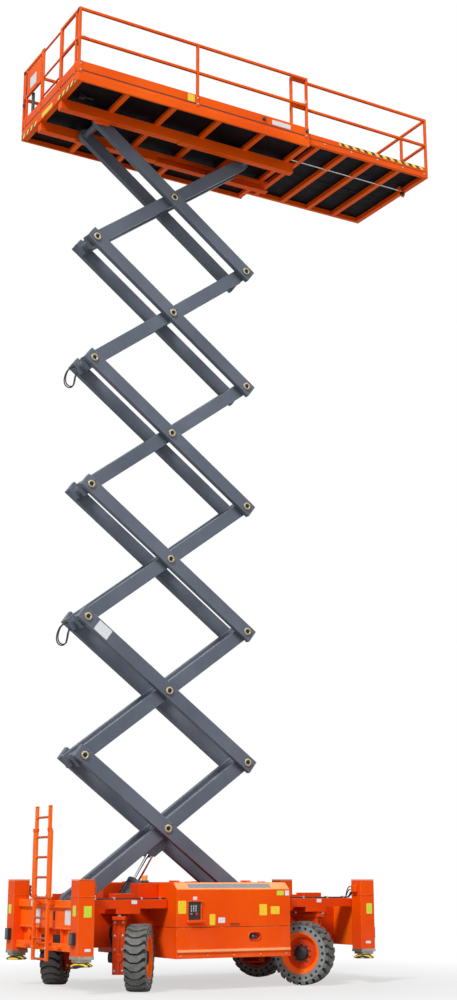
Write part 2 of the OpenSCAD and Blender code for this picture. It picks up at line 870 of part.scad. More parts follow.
// roll-out deck side beams, cross members and toe boards
module extension_frame() {
    place() color(orange) {
        both_sides() block(ext_back, ext_front, ext_half - ext_beam_w, ext_half, ext_low,
            ext_low + ext_beam_h);
        for (i = [0 : members]) translate([ext_back + i * ext_step, 0, 0])
            block(0, member_w, -ext_half, ext_half, ext_low, ext_deck_z);
        both_sides() block(ext_back, ext_back + ext_pad, ext_half - ext_beam_w, ext_half,
            deck_top + slide_fit, ext_low + 1);
        both_sides() block(ext_back, ext_front, ext_half - ext_toe_t, ext_half, ext_low, ext_toe);
        block(ext_front - ext_toe_t, ext_front, -ext_half, ext_half, ext_low, ext_toe);
    }
}

module extension_deck() {
    place() color(black) block(ext_back, ext_front - ext_toe_t, -ext_half + ext_beam_w, ext_half - ext_beam_w,
        ext_deck_z, ext_deck_z + ext_deck_t);
}

module extension_rails() {
    place() color(orange) {
        both_sides() {
            for (x = [ext_back + rail_w, ext_front - rail_w / 2])
                rail_post(x, ext_rail_y, ext_toe, ext_rail_top);
            for (z = [ext_rail_mid, ext_rail_top]) block(ext_back + rail_w, ext_front - rail_w / 2,
                ext_rail_y - rail_w / 2, ext_rail_y + rail_w / 2, z - rail_w, z);
        }
        for (y = [-ext_half / 3, ext_half / 3]) rail_post(ext_front - rail_w / 2, y, ext_toe, ext_rail_top);
        for (z = [ext_rail_mid, ext_rail_top]) block(ext_front - rail_w, ext_front, -ext_rail_y, ext_rail_y,
            z - rail_w, z);
    }
}

chassis_frame();
end_frames();
jack_posts();
cabinet_near();
cabinet_far();
engine_block();
ladder();
lamps();
beacon();
hood_near();
hood_far();
ground_controls();
knuckle(-1, -1);  // knuckle_1
knuckle(-1, 1);  // knuckle_2
knuckle(1, -1);  // knuckle_3
knuckle(1, 1);  // knuckle_4
tyre(-1, -1);  // tyre_1
tyre(-1, 1);  // tyre_2
tyre(1, -1);  // tyre_3
tyre(1, 1);  // tyre_4
rim(-1, -1);  // rim_1
rim(-1, 1);  // rim_2
rim(1, -1);  // rim_3
rim(1, 1);  // rim_4
leg(-1, -1);  // leg_1
leg(-1, 1);  // leg_2
leg(1, -1);  // leg_3
leg(1, 1);  // leg_4
inner_arms_1();
inner_stage(2);  // inner_arms_2
inner_stage(3);  // inner_arms_3
inner_stage(4);  // inner_arms_4
inner_stage(5);  // inner_arms_5
inner_arms_6();
outer_arms_1();
outer_stage(2);  // outer_arms_2
outer_stage(3);  // outer_arms_3
outer_stage(4);  // outer_arms_4
outer_stage(5);  // outer_arms_5
outer_arms_6();
lift_barrel();
lift_rod();
platform_frame();
platform_deck();
platform_edges();
platform_rails();
gate();
platform_controls();
extension_frame();
extension_deck();
extension_rails();
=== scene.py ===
"""Looks of the scissor lift: materials, small fittings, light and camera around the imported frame."""
import math

import bmesh
import bpy
from mathutils import Matrix, Vector


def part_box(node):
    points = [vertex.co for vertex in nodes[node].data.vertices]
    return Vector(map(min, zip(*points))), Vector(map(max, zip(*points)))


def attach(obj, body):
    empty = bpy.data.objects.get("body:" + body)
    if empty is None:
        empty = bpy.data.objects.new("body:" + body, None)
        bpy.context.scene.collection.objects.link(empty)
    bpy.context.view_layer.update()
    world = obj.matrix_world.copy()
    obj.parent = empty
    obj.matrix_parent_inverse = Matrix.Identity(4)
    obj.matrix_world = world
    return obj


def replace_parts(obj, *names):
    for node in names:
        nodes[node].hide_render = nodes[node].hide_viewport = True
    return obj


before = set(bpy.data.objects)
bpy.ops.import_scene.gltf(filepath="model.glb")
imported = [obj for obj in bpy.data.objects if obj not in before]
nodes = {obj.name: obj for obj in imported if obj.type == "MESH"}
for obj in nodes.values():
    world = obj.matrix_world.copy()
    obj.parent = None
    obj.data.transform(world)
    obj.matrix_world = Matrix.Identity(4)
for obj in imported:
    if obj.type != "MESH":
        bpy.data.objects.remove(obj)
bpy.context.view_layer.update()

# Driving sizes in metres, as the frame has them
SHIFT = -0.69
ARM_LEN = 3.4
ARM_ANGLE = math.radians(36.5)
STAGES = 6
PIVOT_X = -1.95 + SHIFT
PIVOT_Z = 1.2
STAGE_H = ARM_LEN * math.sin(ARM_ANGLE)
STAGE_W = ARM_LEN * math.cos(ARM_ANGLE)
TOP_Z = PIVOT_Z + STAGES * STAGE_H
OUTER_FACE = 0.315
HEAD_T = 0.012
WHEEL_BASE = 3.1
KING_Y = 0.8
STEER = math.radians(54)
TYRE_R = 0.45
RIM_R = 0.295
WHEEL_OFF = 0.25
DISC_FACE = 0.318
POST_X = 2.3
POST_Y = 1.13
POST_HALF = 0.12
CAB_HALF = 0.93
CAB_FACE = 1.25
PLAT_BACK = 2.72
PLAT_FRONT = 1.55
PLAT_HALF = 1.12
PLAT_LOW = TOP_Z + 0.1
EXT_HALF = 1.075
FULL_TURN = 2 * math.pi


def at(x, y, z):
    """A point given from the machine's own middle, in the shared frame."""
    return Vector((x + SHIFT, y, z))


def srgb(red, green, blue):
    """Screen colour, 0 to 255, as linear RGBA."""
    def channel(value):
        value /= 255
        return value / 12.92 if value <= 0.04045 else ((value + 0.055) / 1.055) ** 2.4
    return (channel(red), channel(green), channel(blue), 1.0)


class Shader:
    """A procedural material under construction, in the piece's own coordinates."""

    def __init__(self, name):
        self.mat = bpy.data.materials.new(name)
        self.mat.use_nodes = True
        self.tree = self.mat.node_tree
        self.bsdf = self.tree.nodes["Principled BSDF"]
        self.spot = self.add("ShaderNodeTexCoord").outputs["Object"]

    def add(self, kind, **settings):
        node = self.tree.nodes.new(kind)
        for key, value in settings.items():
            setattr(node, key, value)
        return node

    def put(self, socket, value):
        if isinstance(value, bpy.types.NodeSocket):
            self.tree.links.new(value, socket)
        else:
            socket.default_value = value

    def set(self, **values):
        """Constants or links on the shader's own sockets."""
        for key, value in values.items():
            self.put(self.bsdf.inputs[key.replace("_", " ")], value)

    def noise(self, scale, detail=3.0, stretch=(1, 1, 1)):
        place = self.add("ShaderNodeMapping")
        self.put(place.inputs["Vector"], self.spot)
        place.inputs["Scale"].default_value = stretch
        node = self.add("ShaderNodeTexNoise")
        self.put(node.inputs["Vector"], place.outputs[0])
        node.inputs["Scale"].default_value = scale
        node.inputs["Detail"].default_value = detail
        return node.outputs["Fac"]

    def span(self, value, low, high, to_low=0.0, to_high=1.0):
        node = self.add("ShaderNodeMapRange")
        for socket, number in zip(node.inputs, (value, low, high, to_low, to_high)):
            self.put(socket, number)
        return node.outputs[0]

    def math(self, operation, a, b=0.0):
        node = self.add("ShaderNodeMath", operation=operation)
        self.put(node.inputs[0], a)
        self.put(node.inputs[1], b)
        return node.outputs[0]

    def mix(self, factor, a, b):
        node = self.add("ShaderNodeMix", data_type="RGBA")
        for index, value in ((0, factor), (6, a), (7, b)):
            self.put(node.inputs[index], value)
        return node.outputs[2]

    def axis(self, letter):
        node = self.add("ShaderNodeSeparateXYZ")
        self.put(node.inputs[0], self.spot)
        return node.outputs[letter]

    def rounding(self, radius):
        node = self.add("ShaderNodeBevel", samples=4)
        node.inputs["Radius"].default_value = radius
        return node.outputs[0]

    def edges(self, normal):
        """Close to 1 along outer and inner edges, 0 on flat ground."""
        dot = self.add("ShaderNodeVectorMath", operation="DOT_PRODUCT")
        self.put(dot.inputs[0], normal)
        self.put(dot.inputs[1], self.add("ShaderNodeNewGeometry").outputs["True Normal"])
        return self.span(dot.outputs["Value"], 0.99, 0.86)

    def bump(self, height, strength, distance, normal=None):
        node = self.add("ShaderNodeBump")
        node.inputs["Strength"].default_value = strength
        node.inputs["Distance"].default_value = distance
        self.put(node.inputs["Height"], height)
        if normal:
            self.put(node.inputs["Normal"], normal)
        self.set(Normal=node.outputs[0])


DUST = srgb(196, 172, 148)
LOW_SHEEN = 0.08
# Share of the light edge tone on paint edges: partly wear, partly painted highlight
EDGE_WEAR_AND_HIGHLIGHT = 0.75


def paint(name, colour, shade, edge, rough, dust=0.16, radius=0.012):
    """Sprayed paint: slow colour drift, fine orange peel, edges lightened by wear and by a painted highlight,
    and dust near the ground.
    """
    colour, shade, edge = (srgb(*tone) for tone in (colour, shade, edge))
    s = Shader(name)
    normal = s.rounding(radius)
    drift = s.span(s.noise(0.8, 4), 0.35, 0.7)
    base = s.mix(drift, colour, shade)
    streak = s.span(s.noise(3.5, 5, (4, 4, 0.35)), 0.56, 0.78, 0.0, 0.22)
    base = s.mix(streak, base, shade)
    # Edges take the light edge tone: worn paint and a painted highlight together
    worn_and_highlit_edges = s.math("MULTIPLY", s.edges(normal), s.span(s.noise(9, 5), 0.32, 0.6))
    base = s.mix(s.math("MULTIPLY", worn_and_highlit_edges, EDGE_WEAR_AND_HIGHLIGHT), base, edge)
    ground = s.span(s.axis("Z"), 1.1, 0.1)
    low = s.math("MULTIPLY", ground, s.span(s.noise(6, 6), 0.35, 0.75, 0, dust))
    s.set(Base_Color=s.mix(low, base, DUST))
    s.set(Roughness=s.span(s.noise(14, 4), 0.3, 0.7, rough - 0.06, rough + 0.1))
    s.set(Specular_IOR_Level=LOW_SHEEN)
    s.bump(s.noise(160, 2), 0.06, 0.002, normal)
    return s.mat


def plain(name, colour, shade, rough, metal=0.0, scale=30.0, grain=0.1, radius=0.004):
    """Small hardware: two tones, a fine grain and a soft edge."""
    colour, shade = (srgb(*tone) for tone in (colour, shade))
    s = Shader(name)
    s.set(Base_Color=s.mix(s.span(s.noise(scale, 4), 0.35, 0.68), colour, shade), Metallic=metal)
    s.set(Roughness=s.span(s.noise(scale * 2, 3), 0.3, 0.7, rough - 0.08, rough + 0.08))
    s.bump(s.noise(scale * 8, 2), grain, 0.001, s.rounding(radius))
    return s.mat


def rubber(name, colour, shade, dust):
    """Tyre rubber: dull, a little dusty, with a fine moulded grain."""
    colour, shade = (srgb(*tone) for tone in (colour, shade))
    s = Shader(name)
    base = s.mix(s.span(s.noise(7, 5), 0.35, 0.7), colour, shade)
    s.set(Base_Color=s.mix(s.span(s.noise(22, 6), 0.5, 0.8, 0, dust), base, DUST))
    s.set(Roughness=s.span(s.noise(40, 3), 0.3, 0.7, 0.72, 0.9))
    s.bump(s.noise(220, 3), 0.25, 0.002, s.rounding(0.005))
    return s.mat


def hazard(name, pitch):
    """Black and yellow slanted bands."""
    s = Shader(name)
    total = s.math("ADD", s.math("ADD", s.axis("X"), s.axis("Y")), s.axis("Z"))
    band = s.math("GREATER_THAN", s.math("FRACT", s.math("DIVIDE", total, pitch)), 0.5)
    worn = s.span(s.noise(60, 4), 0.62, 0.75, 0, 0.5)
    base = s.mix(band, srgb(250, 214, 60), srgb(28, 28, 30))
    s.set(Base_Color=s.mix(worn, base, srgb(190, 150, 90)))
    s.set(Roughness=s.span(s.noise(30), 0.3, 0.7, 0.42, 0.6))
    return s.mat


def striped_foot(name, split):
    """Zinc leg whose foot plate carries slanted warning bands."""
    s = Shader(name)
    total = s.math("ADD", s.math("ADD", s.axis("X"), s.axis("Y")), s.math("MULTIPLY", s.axis("Z"), 0.6))
    band = s.math("GREATER_THAN", s.math("FRACT", s.math("DIVIDE", total, 0.11)), 0.5)
    foot = s.math("LESS_THAN", s.axis("Z"), split)
    zinc = s.mix(s.span(s.noise(18, 4), 0.35, 0.7), srgb(176, 172, 156), srgb(140, 136, 122))
    base = s.mix(foot, zinc, s.mix(band, srgb(240, 206, 50), srgb(30, 30, 32)))
    s.set(Base_Color=base, Metallic=s.span(foot, 0, 1, 0.7, 0.0))
    s.set(Roughness=s.span(s.noise(24), 0.3, 0.7, 0.38, 0.55))
    s.bump(s.noise(90, 3), 0.12, 0.002, s.rounding(0.004))
    return s.mat


def tread_plate(name, colour, shade):
    """Deck sheet with raised crossed bars, dark underneath as on top; the near-black colour is partly painted
    shade of the platform's underside.
    """
    colour, shade = (srgb(*tone) for tone in (colour, shade))
    s = Shader(name)
    normal = s.rounding(0.004)
    s.set(Base_Color=s.mix(s.span(s.noise(2.2, 5), 0.35, 0.7), colour, shade))
    u = s.math("SINE", s.math("MULTIPLY", s.math("ADD", s.axis("X"), s.axis("Y")), 90.0))
    v = s.math("SINE", s.math("MULTIPLY", s.math("SUBTRACT", s.axis("X"), s.axis("Y")), 90.0))
    s.set(Roughness=s.span(s.noise(9, 4), 0.3, 0.7, 0.42, 0.6), Specular_IOR_Level=LOW_SHEEN)
    s.bump(s.span(s.math("MULTIPLY", u, v), 0.35, 0.7), 0.35, 0.004, normal)
    return s.mat


def beacon_glass(name, split):
    """Amber dome over a dark base, split at a height."""
    s = Shader(name)
    ribs = s.math("SINE", s.math("MULTIPLY", s.axis("Z"), 700.0))
    dome = s.math("GREATER_THAN", s.axis("Z"), split)
    amber = s.mix(s.span(ribs, -1, 1), srgb(240, 128, 24), srgb(255, 168, 60))
    s.set(Base_Color=s.mix(dome, srgb(40, 34, 32), amber), Roughness=0.22, Coat_Weight=0.5)
    s.bump(ribs, 0.2, 0.002)
    return s.mat


# Each paint's third colour is its edge tone: wear and painted highlight on the edges
ORANGE = paint("orange_paint", (243, 86, 3), (228, 68, 2), (255, 150, 84), 0.40, 0.1)
# Redder, darker orange for the low parts; the darkening is partly painted shade, as in the rims' cones and
# behind the wheels
ORANGE_LOW_AND_SHADE = paint("orange_low_and_shade", (234, 70, 4), (200, 50, 2), (255, 140, 80), 0.42, 0.12)
# Lighter orange as painted light: the sunlit end frames and ladder, and the bright rim lips
ORANGE_PAINTED_LIGHT = paint("orange_painted_light", (255, 112, 4), (246, 92, 2), (255, 164, 96), 0.42, 0.08)
ORANGE_HIGH = paint("orange_high", (250, 98, 6), (236, 80, 3), (255, 156, 96), 0.42, 0.0)
GREY = paint("arm_paint", (108, 115, 127), (88, 95, 107), (176, 183, 194), 0.36, 0.1)
# Near-black deck sheet, darkened as painted shade of the platform's underside
DECK_PAINTED_SHADE = tread_plate("deck_sheet_painted_shade", (11, 12, 17), (5, 6, 9))
TREAD = rubber("tread_rubber", (104, 106, 104), (80, 82, 80), 0.16)
# Dark rubber on the carcass between the tread bars: painted shade in the grooves
GROOVE_PAINTED_SHADE = rubber("groove_painted_shade", (38, 39, 40), (28, 29, 30), 0.1)
SIDEWALL = rubber("sidewall_rubber", (128, 137, 138), (112, 120, 121), 0.06)
# Near-black for bores, pockets and gaps: painted shade inside them
HOLE_PAINTED_SHADE = plain("painted_hole_shade", (16, 16, 17), (10, 10, 11), 0.8)
ZINC = plain("zinc_plate", (176, 172, 156), (146, 142, 128), 0.4, 0.85, 18)
BRASS = plain("brass_ring", (196, 184, 150), (150, 136, 104), 0.38, 0.5, 40)
CHROME = plain("chrome_rod", (226, 228, 230), (208, 210, 214), 0.12, 1.0, 12, 0.02)
STEEL = plain("bare_steel", (178, 180, 182), (150, 152, 156), 0.32, 0.9, 20)
BLACK = plain("black_plastic", (32, 34, 38), (22, 23, 26), 0.45)
HOSE = plain("hose_rubber", (30, 31, 33), (20, 21, 23), 0.55, 0.0, 60, 0.3)
NUT = plain("wheel_nut", (120, 112, 104), (84, 76, 70), 0.42, 0.7)
# Dark red-brown strips: painted shadow in the gaps of the toe boards and the roll-out deck
SEAM_PAINTED_SHADOW = plain("painted_shadow_seam", (96, 24, 6), (70, 15, 3), 0.6)
WHITE_PLATE = plain("blank_white", (228, 230, 232), (206, 209, 213), 0.4, 0.0, 50)
YELLOW_PLATE = plain("blank_yellow", (246, 208, 36), (232, 190, 24), 0.42, 0.0, 50)
LIME_PLATE = plain("blank_lime", (206, 224, 60), (186, 204, 44), 0.42, 0.0, 50)
GREY_PLATE = plain("blank_grey", (150, 154, 158), (132, 136, 141), 0.35, 0.2, 50)
LENS = plain("lamp_lens", (74, 80, 88), (54, 59, 66), 0.12, 0.0, 90, 0.3)
RED = plain("red_button", (206, 30, 24), (178, 20, 18), 0.35)
FOOT = striped_foot("striped_foot", 0.405)
STRIPES = hazard("hazard_stripes", 0.16)
AMBER = beacon_glass("beacon_amber", 1.476)
CAST = plain("cast_iron", (58, 60, 64), (44, 46, 49), 0.55, 0.4, 25, 0.4)
# Pale orange as painted highlight: the sky's reflection on the hood bevel and the light along the cabinet
# lips
PALE_PAINTED_HIGHLIGHT = paint("pale_painted_highlight", (252, 178, 118), (248, 150, 84), (255, 214, 176), 0.34)
# Dark red-orange for the latch cup: painted shade inside the cup and round its rim
CUP_PAINTED_SHADE = plain("cup_shade", (176, 44, 8), (140, 30, 6), 0.55)


def side_face(side):
    """Right and up on an upright face that looks along y, -1 for the control side."""
    return (-side, 0, 0), (0, 0, 1)


NEAR = side_face(-1)
FRONT_END = ((0, -1, 0), (0, 0, 1))
FLAT = ((1, 0, 0), (0, 1, 0))


def basis(axis):
    """Two directions square to an axis."""
    axis = Vector(axis).normalized()
    helper = Vector((0, 0, 1)) if abs(axis.z) < 0.9 else Vector((1, 0, 0))
    u = helper.cross(axis).normalized()
    return u, axis.cross(u)


class Batch:
    """Small solids of one finish that ride on one body, gathered in one mesh."""

    def __init__(self, name, body, material, slot, move=None, second=None):
        self.name, self.body, self.slot = name, body, slot
        self.materials = [material] + ([second] if second else [])
        self.move = move or Matrix.Identity(4)
        self.bm = bmesh.new()

    def rings(self, rings, closed=False):
        """Skin over rings of points, capped at both ends unless closed on itself."""
        made = [[self.bm.verts.new(p) for p in ring] for ring in rings]
        pairs = list(zip(made, made[1:])) + ([(made[-1], made[0])] if closed else [])
        for a, b in pairs:
            count = len(a)
            for i in range(count):
                j = (i + 1) % count
                self.bm.faces.new((a[i], a[j], b[j], b[i]))
        if not closed:
            self.bm.faces.new(made[0][::-1])
            self.bm.faces.new(made[-1])

    def lathe(self, origin, axis, profile, sides, closed):
        """Rings around an axis, each a radius and a distance along it."""
        origin, axis = Vector(origin), Vector(axis).normalized()
        u, v = basis(axis)
        turns = [FULL_TURN * i / sides for i in range(sides)]
        self.rings([[origin + axis * along + (u * math.cos(t) + v * math.sin(t)) * radius for t in turns]
                    for radius, along in profile], closed)

    def turned(self, origin, axis, profile, sides=32):
        """Solid lathe work, capped at both ends."""
        self.lathe(origin, axis, profile, sides, False)
        return self

    def ring(self, origin, axis, profile, sides=48):
        """Lathe work with an open middle: the profile closes on itself."""
        self.lathe(origin, axis, profile, sides, True)
        return self

    def bar(self, a, b, radius, sides=16):
        a, b = Vector(a), Vector(b)
        soft = min(radius * 0.2, 0.004)
        length = (b - a).length
        self.turned(a, b - a, [(radius - soft, 0), (radius, soft), (radius, length - soft),
                               (radius - soft, length)], sides)
        return self

    def bolt(self, spot, axis, across=0.03, tall=0.014):
        """Hex head on a washer."""
        self.turned(spot, axis, [(across * 0.75, 0), (across * 0.75, tall * 0.2)], 20)
        self.turned(spot, axis, [(across * 0.56, tall * 0.2), (across * 0.56, tall * 0.85),
                                 (across * 0.45, tall)], 6)

    def plate(self, centre, right, up, width, height, thick, corner=0.012):
        """Flat plate with round corners, standing off along right x up."""
        centre, right, up = Vector(centre), Vector(right).normalized(), Vector(up).normalized()
        out = right.cross(up)
        corner = min(corner, width * 0.45, height * 0.45)

        def outline(inset, along):
            points = []
            for turn, (sx, sy) in enumerate(((1, 1), (-1, 1), (-1, -1), (1, -1))):
                for step in range(5):
                    angle = math.pi / 2 * (turn + step / 4)
                    radius = corner - inset
                    points.append(centre + out * along
                                  + right * (sx * (width / 2 - corner) + radius * math.cos(angle))
                                  + up * (sy * (height / 2 - corner) + radius * math.sin(angle)))
            return points
        soft = min(thick * 0.4, corner * 0.4)
        self.rings([outline(0, 0), outline(0, thick - soft), outline(soft, thick)])
        return self

    def box(self, low, high, soft=0.004):
        """Block with small chamfers."""
        low, high = Vector(low), Vector(high)
        size = high - low
        self.plate((low + high) / 2 - Vector((0, 0, size.z / 2)), *FLAT, size.x, size.y, size.z, soft)

    def oval(self, centre, right, up, outer, inner, thick):
        """Raised ring between two ovals with straight flanks, each a width and a height."""
        centre, right, up = Vector(centre), Vector(right).normalized(), Vector(up).normalized()
        out = right.cross(up)

        def round_line(size, along):
            reach, radius = (size[0] - size[1]) / 2, size[1] / 2
            points = []
            for flank in (1, -1):
                for i in range(17):
                    t = math.pi * (i / 16 - flank / 2)
                    points.append(centre + out * along + right * (flank * reach + radius * math.cos(t))
                                  + up * (radius * math.sin(t)))
            return points
        self.rings([round_line(size, along) for size, along in (
            (outer, 0), (outer, thick), (inner, thick), (inner, 0))], True)

    def prism(self, points, offset):
        """Flat outline pushed along an offset."""
        offset = Vector(offset)
        self.rings([[Vector(p) for p in points], [Vector(p) + offset for p in points]])

    def done(self):
        mesh = bpy.data.meshes.new(self.name)
        bmesh.ops.transform(self.bm, matrix=self.move, verts=self.bm.verts)
        bmesh.ops.recalc_face_normals(self.bm, faces=self.bm.faces)
        for edge in self.bm.edges:
            edge.smooth = len(edge.link_faces) == 2 and edge.calc_face_angle(0) < math.radians(38)
        for face in self.bm.faces:
            face.smooth = True
        self.bm.to_mesh(mesh)
        self.bm.free()
        for material in self.materials:
            mesh.materials.append(material)
        piece = bpy.data.objects.new(self.name, mesh)
        bpy.context.scene.collection.objects.link(piece)
        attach(piece, self.body)
        return piece


def smooth_path(points, steps=6):
    """Even curve through the points."""
    points = [Vector(p) for p in points]
    padded = [points[0] * 2 - points[1]] + points + [points[-1] * 2 - points[-2]]
    path = []
    for a, b, c, d in zip(padded, padded[1:], padded[2:], padded[3:]):
        for i in range(steps):
            t = i / steps
            path.append(0.5 * (2 * b + (c - a) * t + (2 * a - 5 * b + 4 * c - d) * t ** 2
                               + (3 * b - a - 3 * c + d) * t ** 3))
    return path + [points[-1]]


def line(name, body, points, radius, material, steps=6):
    """Hose or pipe along a smooth path."""
    curve = bpy.data.curves.new(name, "CURVE")
    curve.dimensions = "3D"
    curve.bevel_depth = radius
    curve.bevel_resolution = 3
    curve.use_fill_caps = True
    spline = curve.splines.new("POLY")
    path = smooth_path(points, steps)
    spline.points.add(len(path) - 1)
    for point, spot in zip(spline.points, path):
        point.co = (*spot, 1)
    spline.use_smooth = True
    curve.materials.append(material)
    piece = bpy.data.objects.new(name, curve)
    bpy.context.scene.collection.objects.link(piece)
    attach(piece, body)
    return piece, path


def hose(name, body, points, radius):
    """Free hose along a smooth path, in hose rubber, riding on a body."""
    piece, path = line(name, body, points, radius, HOSE)


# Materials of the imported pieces
for node_name, thing in nodes.items():
    if "arms" in node_name or node_name == "lift_barrel":
        finish = GREY
    elif node_name.startswith("tyre"):
        finish = TREAD
    elif node_name.startswith("leg"):
        finish = FOOT
    elif node_name.endswith("deck"):
        finish = DECK_PAINTED_SHADE
    elif node_name.startswith(("platform", "extension", "gate")):
        finish = ORANGE_HIGH
    # Knuckles, chassis and rims: darker orange, partly painted shade
    elif node_name.startswith(("knuckle", "chassis", "rim")):
        finish = ORANGE_LOW_AND_SHADE
    # End frames and ladder: lighter orange, painted sunlight
    elif node_name.startswith(("end_frames", "ladder")):
        finish = ORANGE_PAINTED_LIGHT
    else:
        finish = ORANGE
    finish = {"lift_rod": CHROME, "beacon": AMBER, "lamps": BLACK, "engine_block": CAST,
              "ground_controls": BLACK, "platform_controls": BLACK}.get(node_name, finish)
    thing.data.materials.clear()
    thing.data.materials.append(finish)


def corner_matrix(ex, sy):
    """From a wheel drawn at the kingpin, facing the control side, to its corner."""
    flip = Matrix.Scale(-1, 4, (1, 0, 0)) if ex > 0 else Matrix.Identity(4)
    half_turn = Matrix.Rotation(math.pi if sy > 0 else 0, 4, "Z")
    return (Matrix.Translation((SHIFT, 0, 0)) @ flip @ Matrix.Translation((-WHEEL_BASE / 2, 0, 0))
            @ half_turn @ Matrix.Translation((0, -KING_Y, 0)) @ Matrix.Rotation(STEER, 4, "Z"))


CORNERS = {1: (-1, -1), 2: (-1, 1), 3: (1, -1), 4: (1, 1)}
LUGS = 24
HOLES = 24
HOLE_SIDES = 16
CARCASS_R = 0.413
WALL_Y = 0.1495
NUTS = 10
NUT_CIRCLE = 0.13
HUB_BOLTS = 8
HUB_CIRCLE = 0.165
PORT_X = 0.035
PORT_Y = 0.112


def tread_bar(batch, centre, turn, pitch):
    """One wavy tread bar across the tyre, wrapped down both shoulders."""
    half = [(0, 0, 0.4495, 0.406), (0.05, 0.05, 0.4495, 0.406), (0.09, 0.55, 0.449, 0.406),
            (0.118, 1, 0.447, 0.402), (0.1485, 1, 0.441, 0.396), (WALL_Y, 1, 0.398, 0.392)]
    stations = [(-side, *rest) for side, *rest in reversed(half[1:])] + half
    sections = []
    for side, slant, top, root in stations:
        middle = turn + pitch * 0.42 * slant
        section = []
        wide = 0.44 - 0.13 * slant
        for radius, share in ((root, -wide), (top, 0.05 - wide), (top, wide - 0.05), (root, wide)):
            angle = middle + pitch * share
            section.append(centre + Vector((radius * math.sin(angle), side, radius * math.cos(angle))))
        sections.append(section)
    batch.rings(sections)


def sidewall(batch, centre, side):
    """Flat side of the tyre with a ring of blind holes, their walls and floors in near-black painted shade.
    """
    inner, outer, ring_r, hole_r, deep = 0.297, 0.400, 0.352, 0.021, 0.05
    half = math.pi / HOLES
    out = side * WALL_Y

    def spot(radius, angle, along):
        return centre + Vector((radius * math.sin(angle), along, radius * math.cos(angle)))
    for i in range(HOLES):
        mid = FULL_TURN * i / HOLES
        frame_points, hole_points, floor_points = [], [], []
        for k in range(HOLE_SIDES):
            t = FULL_TURN * k / HOLE_SIDES
            c, s = math.cos(t), math.sin(t)
            reach = max(abs(c), abs(s))
            radius = (inner + outer) / 2 + (outer - inner) / 2 * s / reach
            frame_points.append(batch.bm.verts.new(spot(radius, mid + half * c / reach, out)))
            hole = (ring_r + hole_r * s, mid + hole_r * c / ring_r)
            hole_points.append(batch.bm.verts.new(spot(*hole, out)))
            floor_points.append(batch.bm.verts.new(spot(*hole, out - side * deep)))
        for k in range(HOLE_SIDES):
            j = (k + 1) % HOLE_SIDES
            batch.bm.faces.new((frame_points[k], frame_points[j], hole_points[j], hole_points[k]))
            wall = batch.bm.faces.new((hole_points[k], hole_points[j], floor_points[j], floor_points[k]))
            wall.material_index = 1
        batch.bm.faces.new(floor_points).material_index = 1
    bmesh.ops.remove_doubles(batch.bm, verts=batch.bm.verts, dist=0.0004)


def wheel(number):
    """Tyre with tread and holed sides, rim lip, nuts and dome of one corner."""
    move = corner_matrix(*CORNERS[number])
    centre = Vector((0, -WHEEL_OFF, TYRE_R))
    body = f"wheel_{number}"
    tread = Batch(f"tread_{number}", body, TREAD, "tyre", move, GROOVE_PAINTED_SHADE)
    half = [(RIM_R + 0.001, -0.13), (0.31, -0.142), (0.398, -0.147), (0.404, -0.14), (CARCASS_R, -0.12)]
    tread.ring(centre, (0, 1, 0), half + [(radius, -along) for radius, along in reversed(half)], 72)
    # Carcass between the bars takes the dark rubber: painted shade
    for polygon in tread.bm.faces:
        polygon.material_index = 1
    pitch = FULL_TURN / LUGS
    for i in range(LUGS):
        tread_bar(tread, centre, i * pitch, pitch)
    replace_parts(tread.done(), f"tyre_{number}")
    for side in (-1, 1):
        wall = Batch(f"sidewall_{number}_{'out' if side < 0 else 'in'}", body, SIDEWALL, "tyre", move, HOLE_PAINTED_SHADE)
        sidewall(wall, centre, side)
        wall.ring(centre, (0, 1, 0), [(radius, side * along) for radius, along in (
            (0.296, 0.140), (0.299, 0.150), (0.306, 0.1515), (0.309, 0.148), (0.309, 0.140))], 72)
        wall.done()
    # Rim lip in the lighter orange: painted highlight
    lip = Batch(f"rim_lip_{number}", body, ORANGE_PAINTED_LIGHT, "orange", move)
    lip.ring(centre, (0, -1, 0), [(0.264, 0.10), (0.264, 0.139), (0.272, 0.146), (0.292, 0.148),
                                  (0.301, 0.143), (0.303, 0.136), (0.294, 0.133)], 72)
    lip.ring(centre, (0, -1, 0), [(0.22, 0.066), (0.265, 0.066), (0.265, 0.104), (0.258, 0.102),
                                  (0.244, 0.086), (0.225, 0.074)], 72)
    lip.done()
    face = Vector((0, -DISC_FACE, TYRE_R))
    Batch(f"hub_{number}", body, BLACK, "lamp", move).turned(face, (0, -1, 0), [
        (0.104, 0.0005), (0.104, 0.03), (0.098, 0.042), (0.09, 0.046), (0.084, 0.058), (0.06, 0.066),
        (0.02, 0.069)], 40).done()
    nuts = Batch(f"nuts_{number}", body, NUT, "zinc", move)
    for i in range(NUTS):
        t = FULL_TURN * (i + 0.5) / NUTS
        spot = face + Vector((NUT_CIRCLE * math.cos(t), 0, NUT_CIRCLE * math.sin(t)))
        nuts.bolt(spot, (0, -1, 0), 0.028, 0.02)
        nuts.bar(spot, spot + Vector((0, -0.028, 0)), 0.008, 12)
    nuts.done()


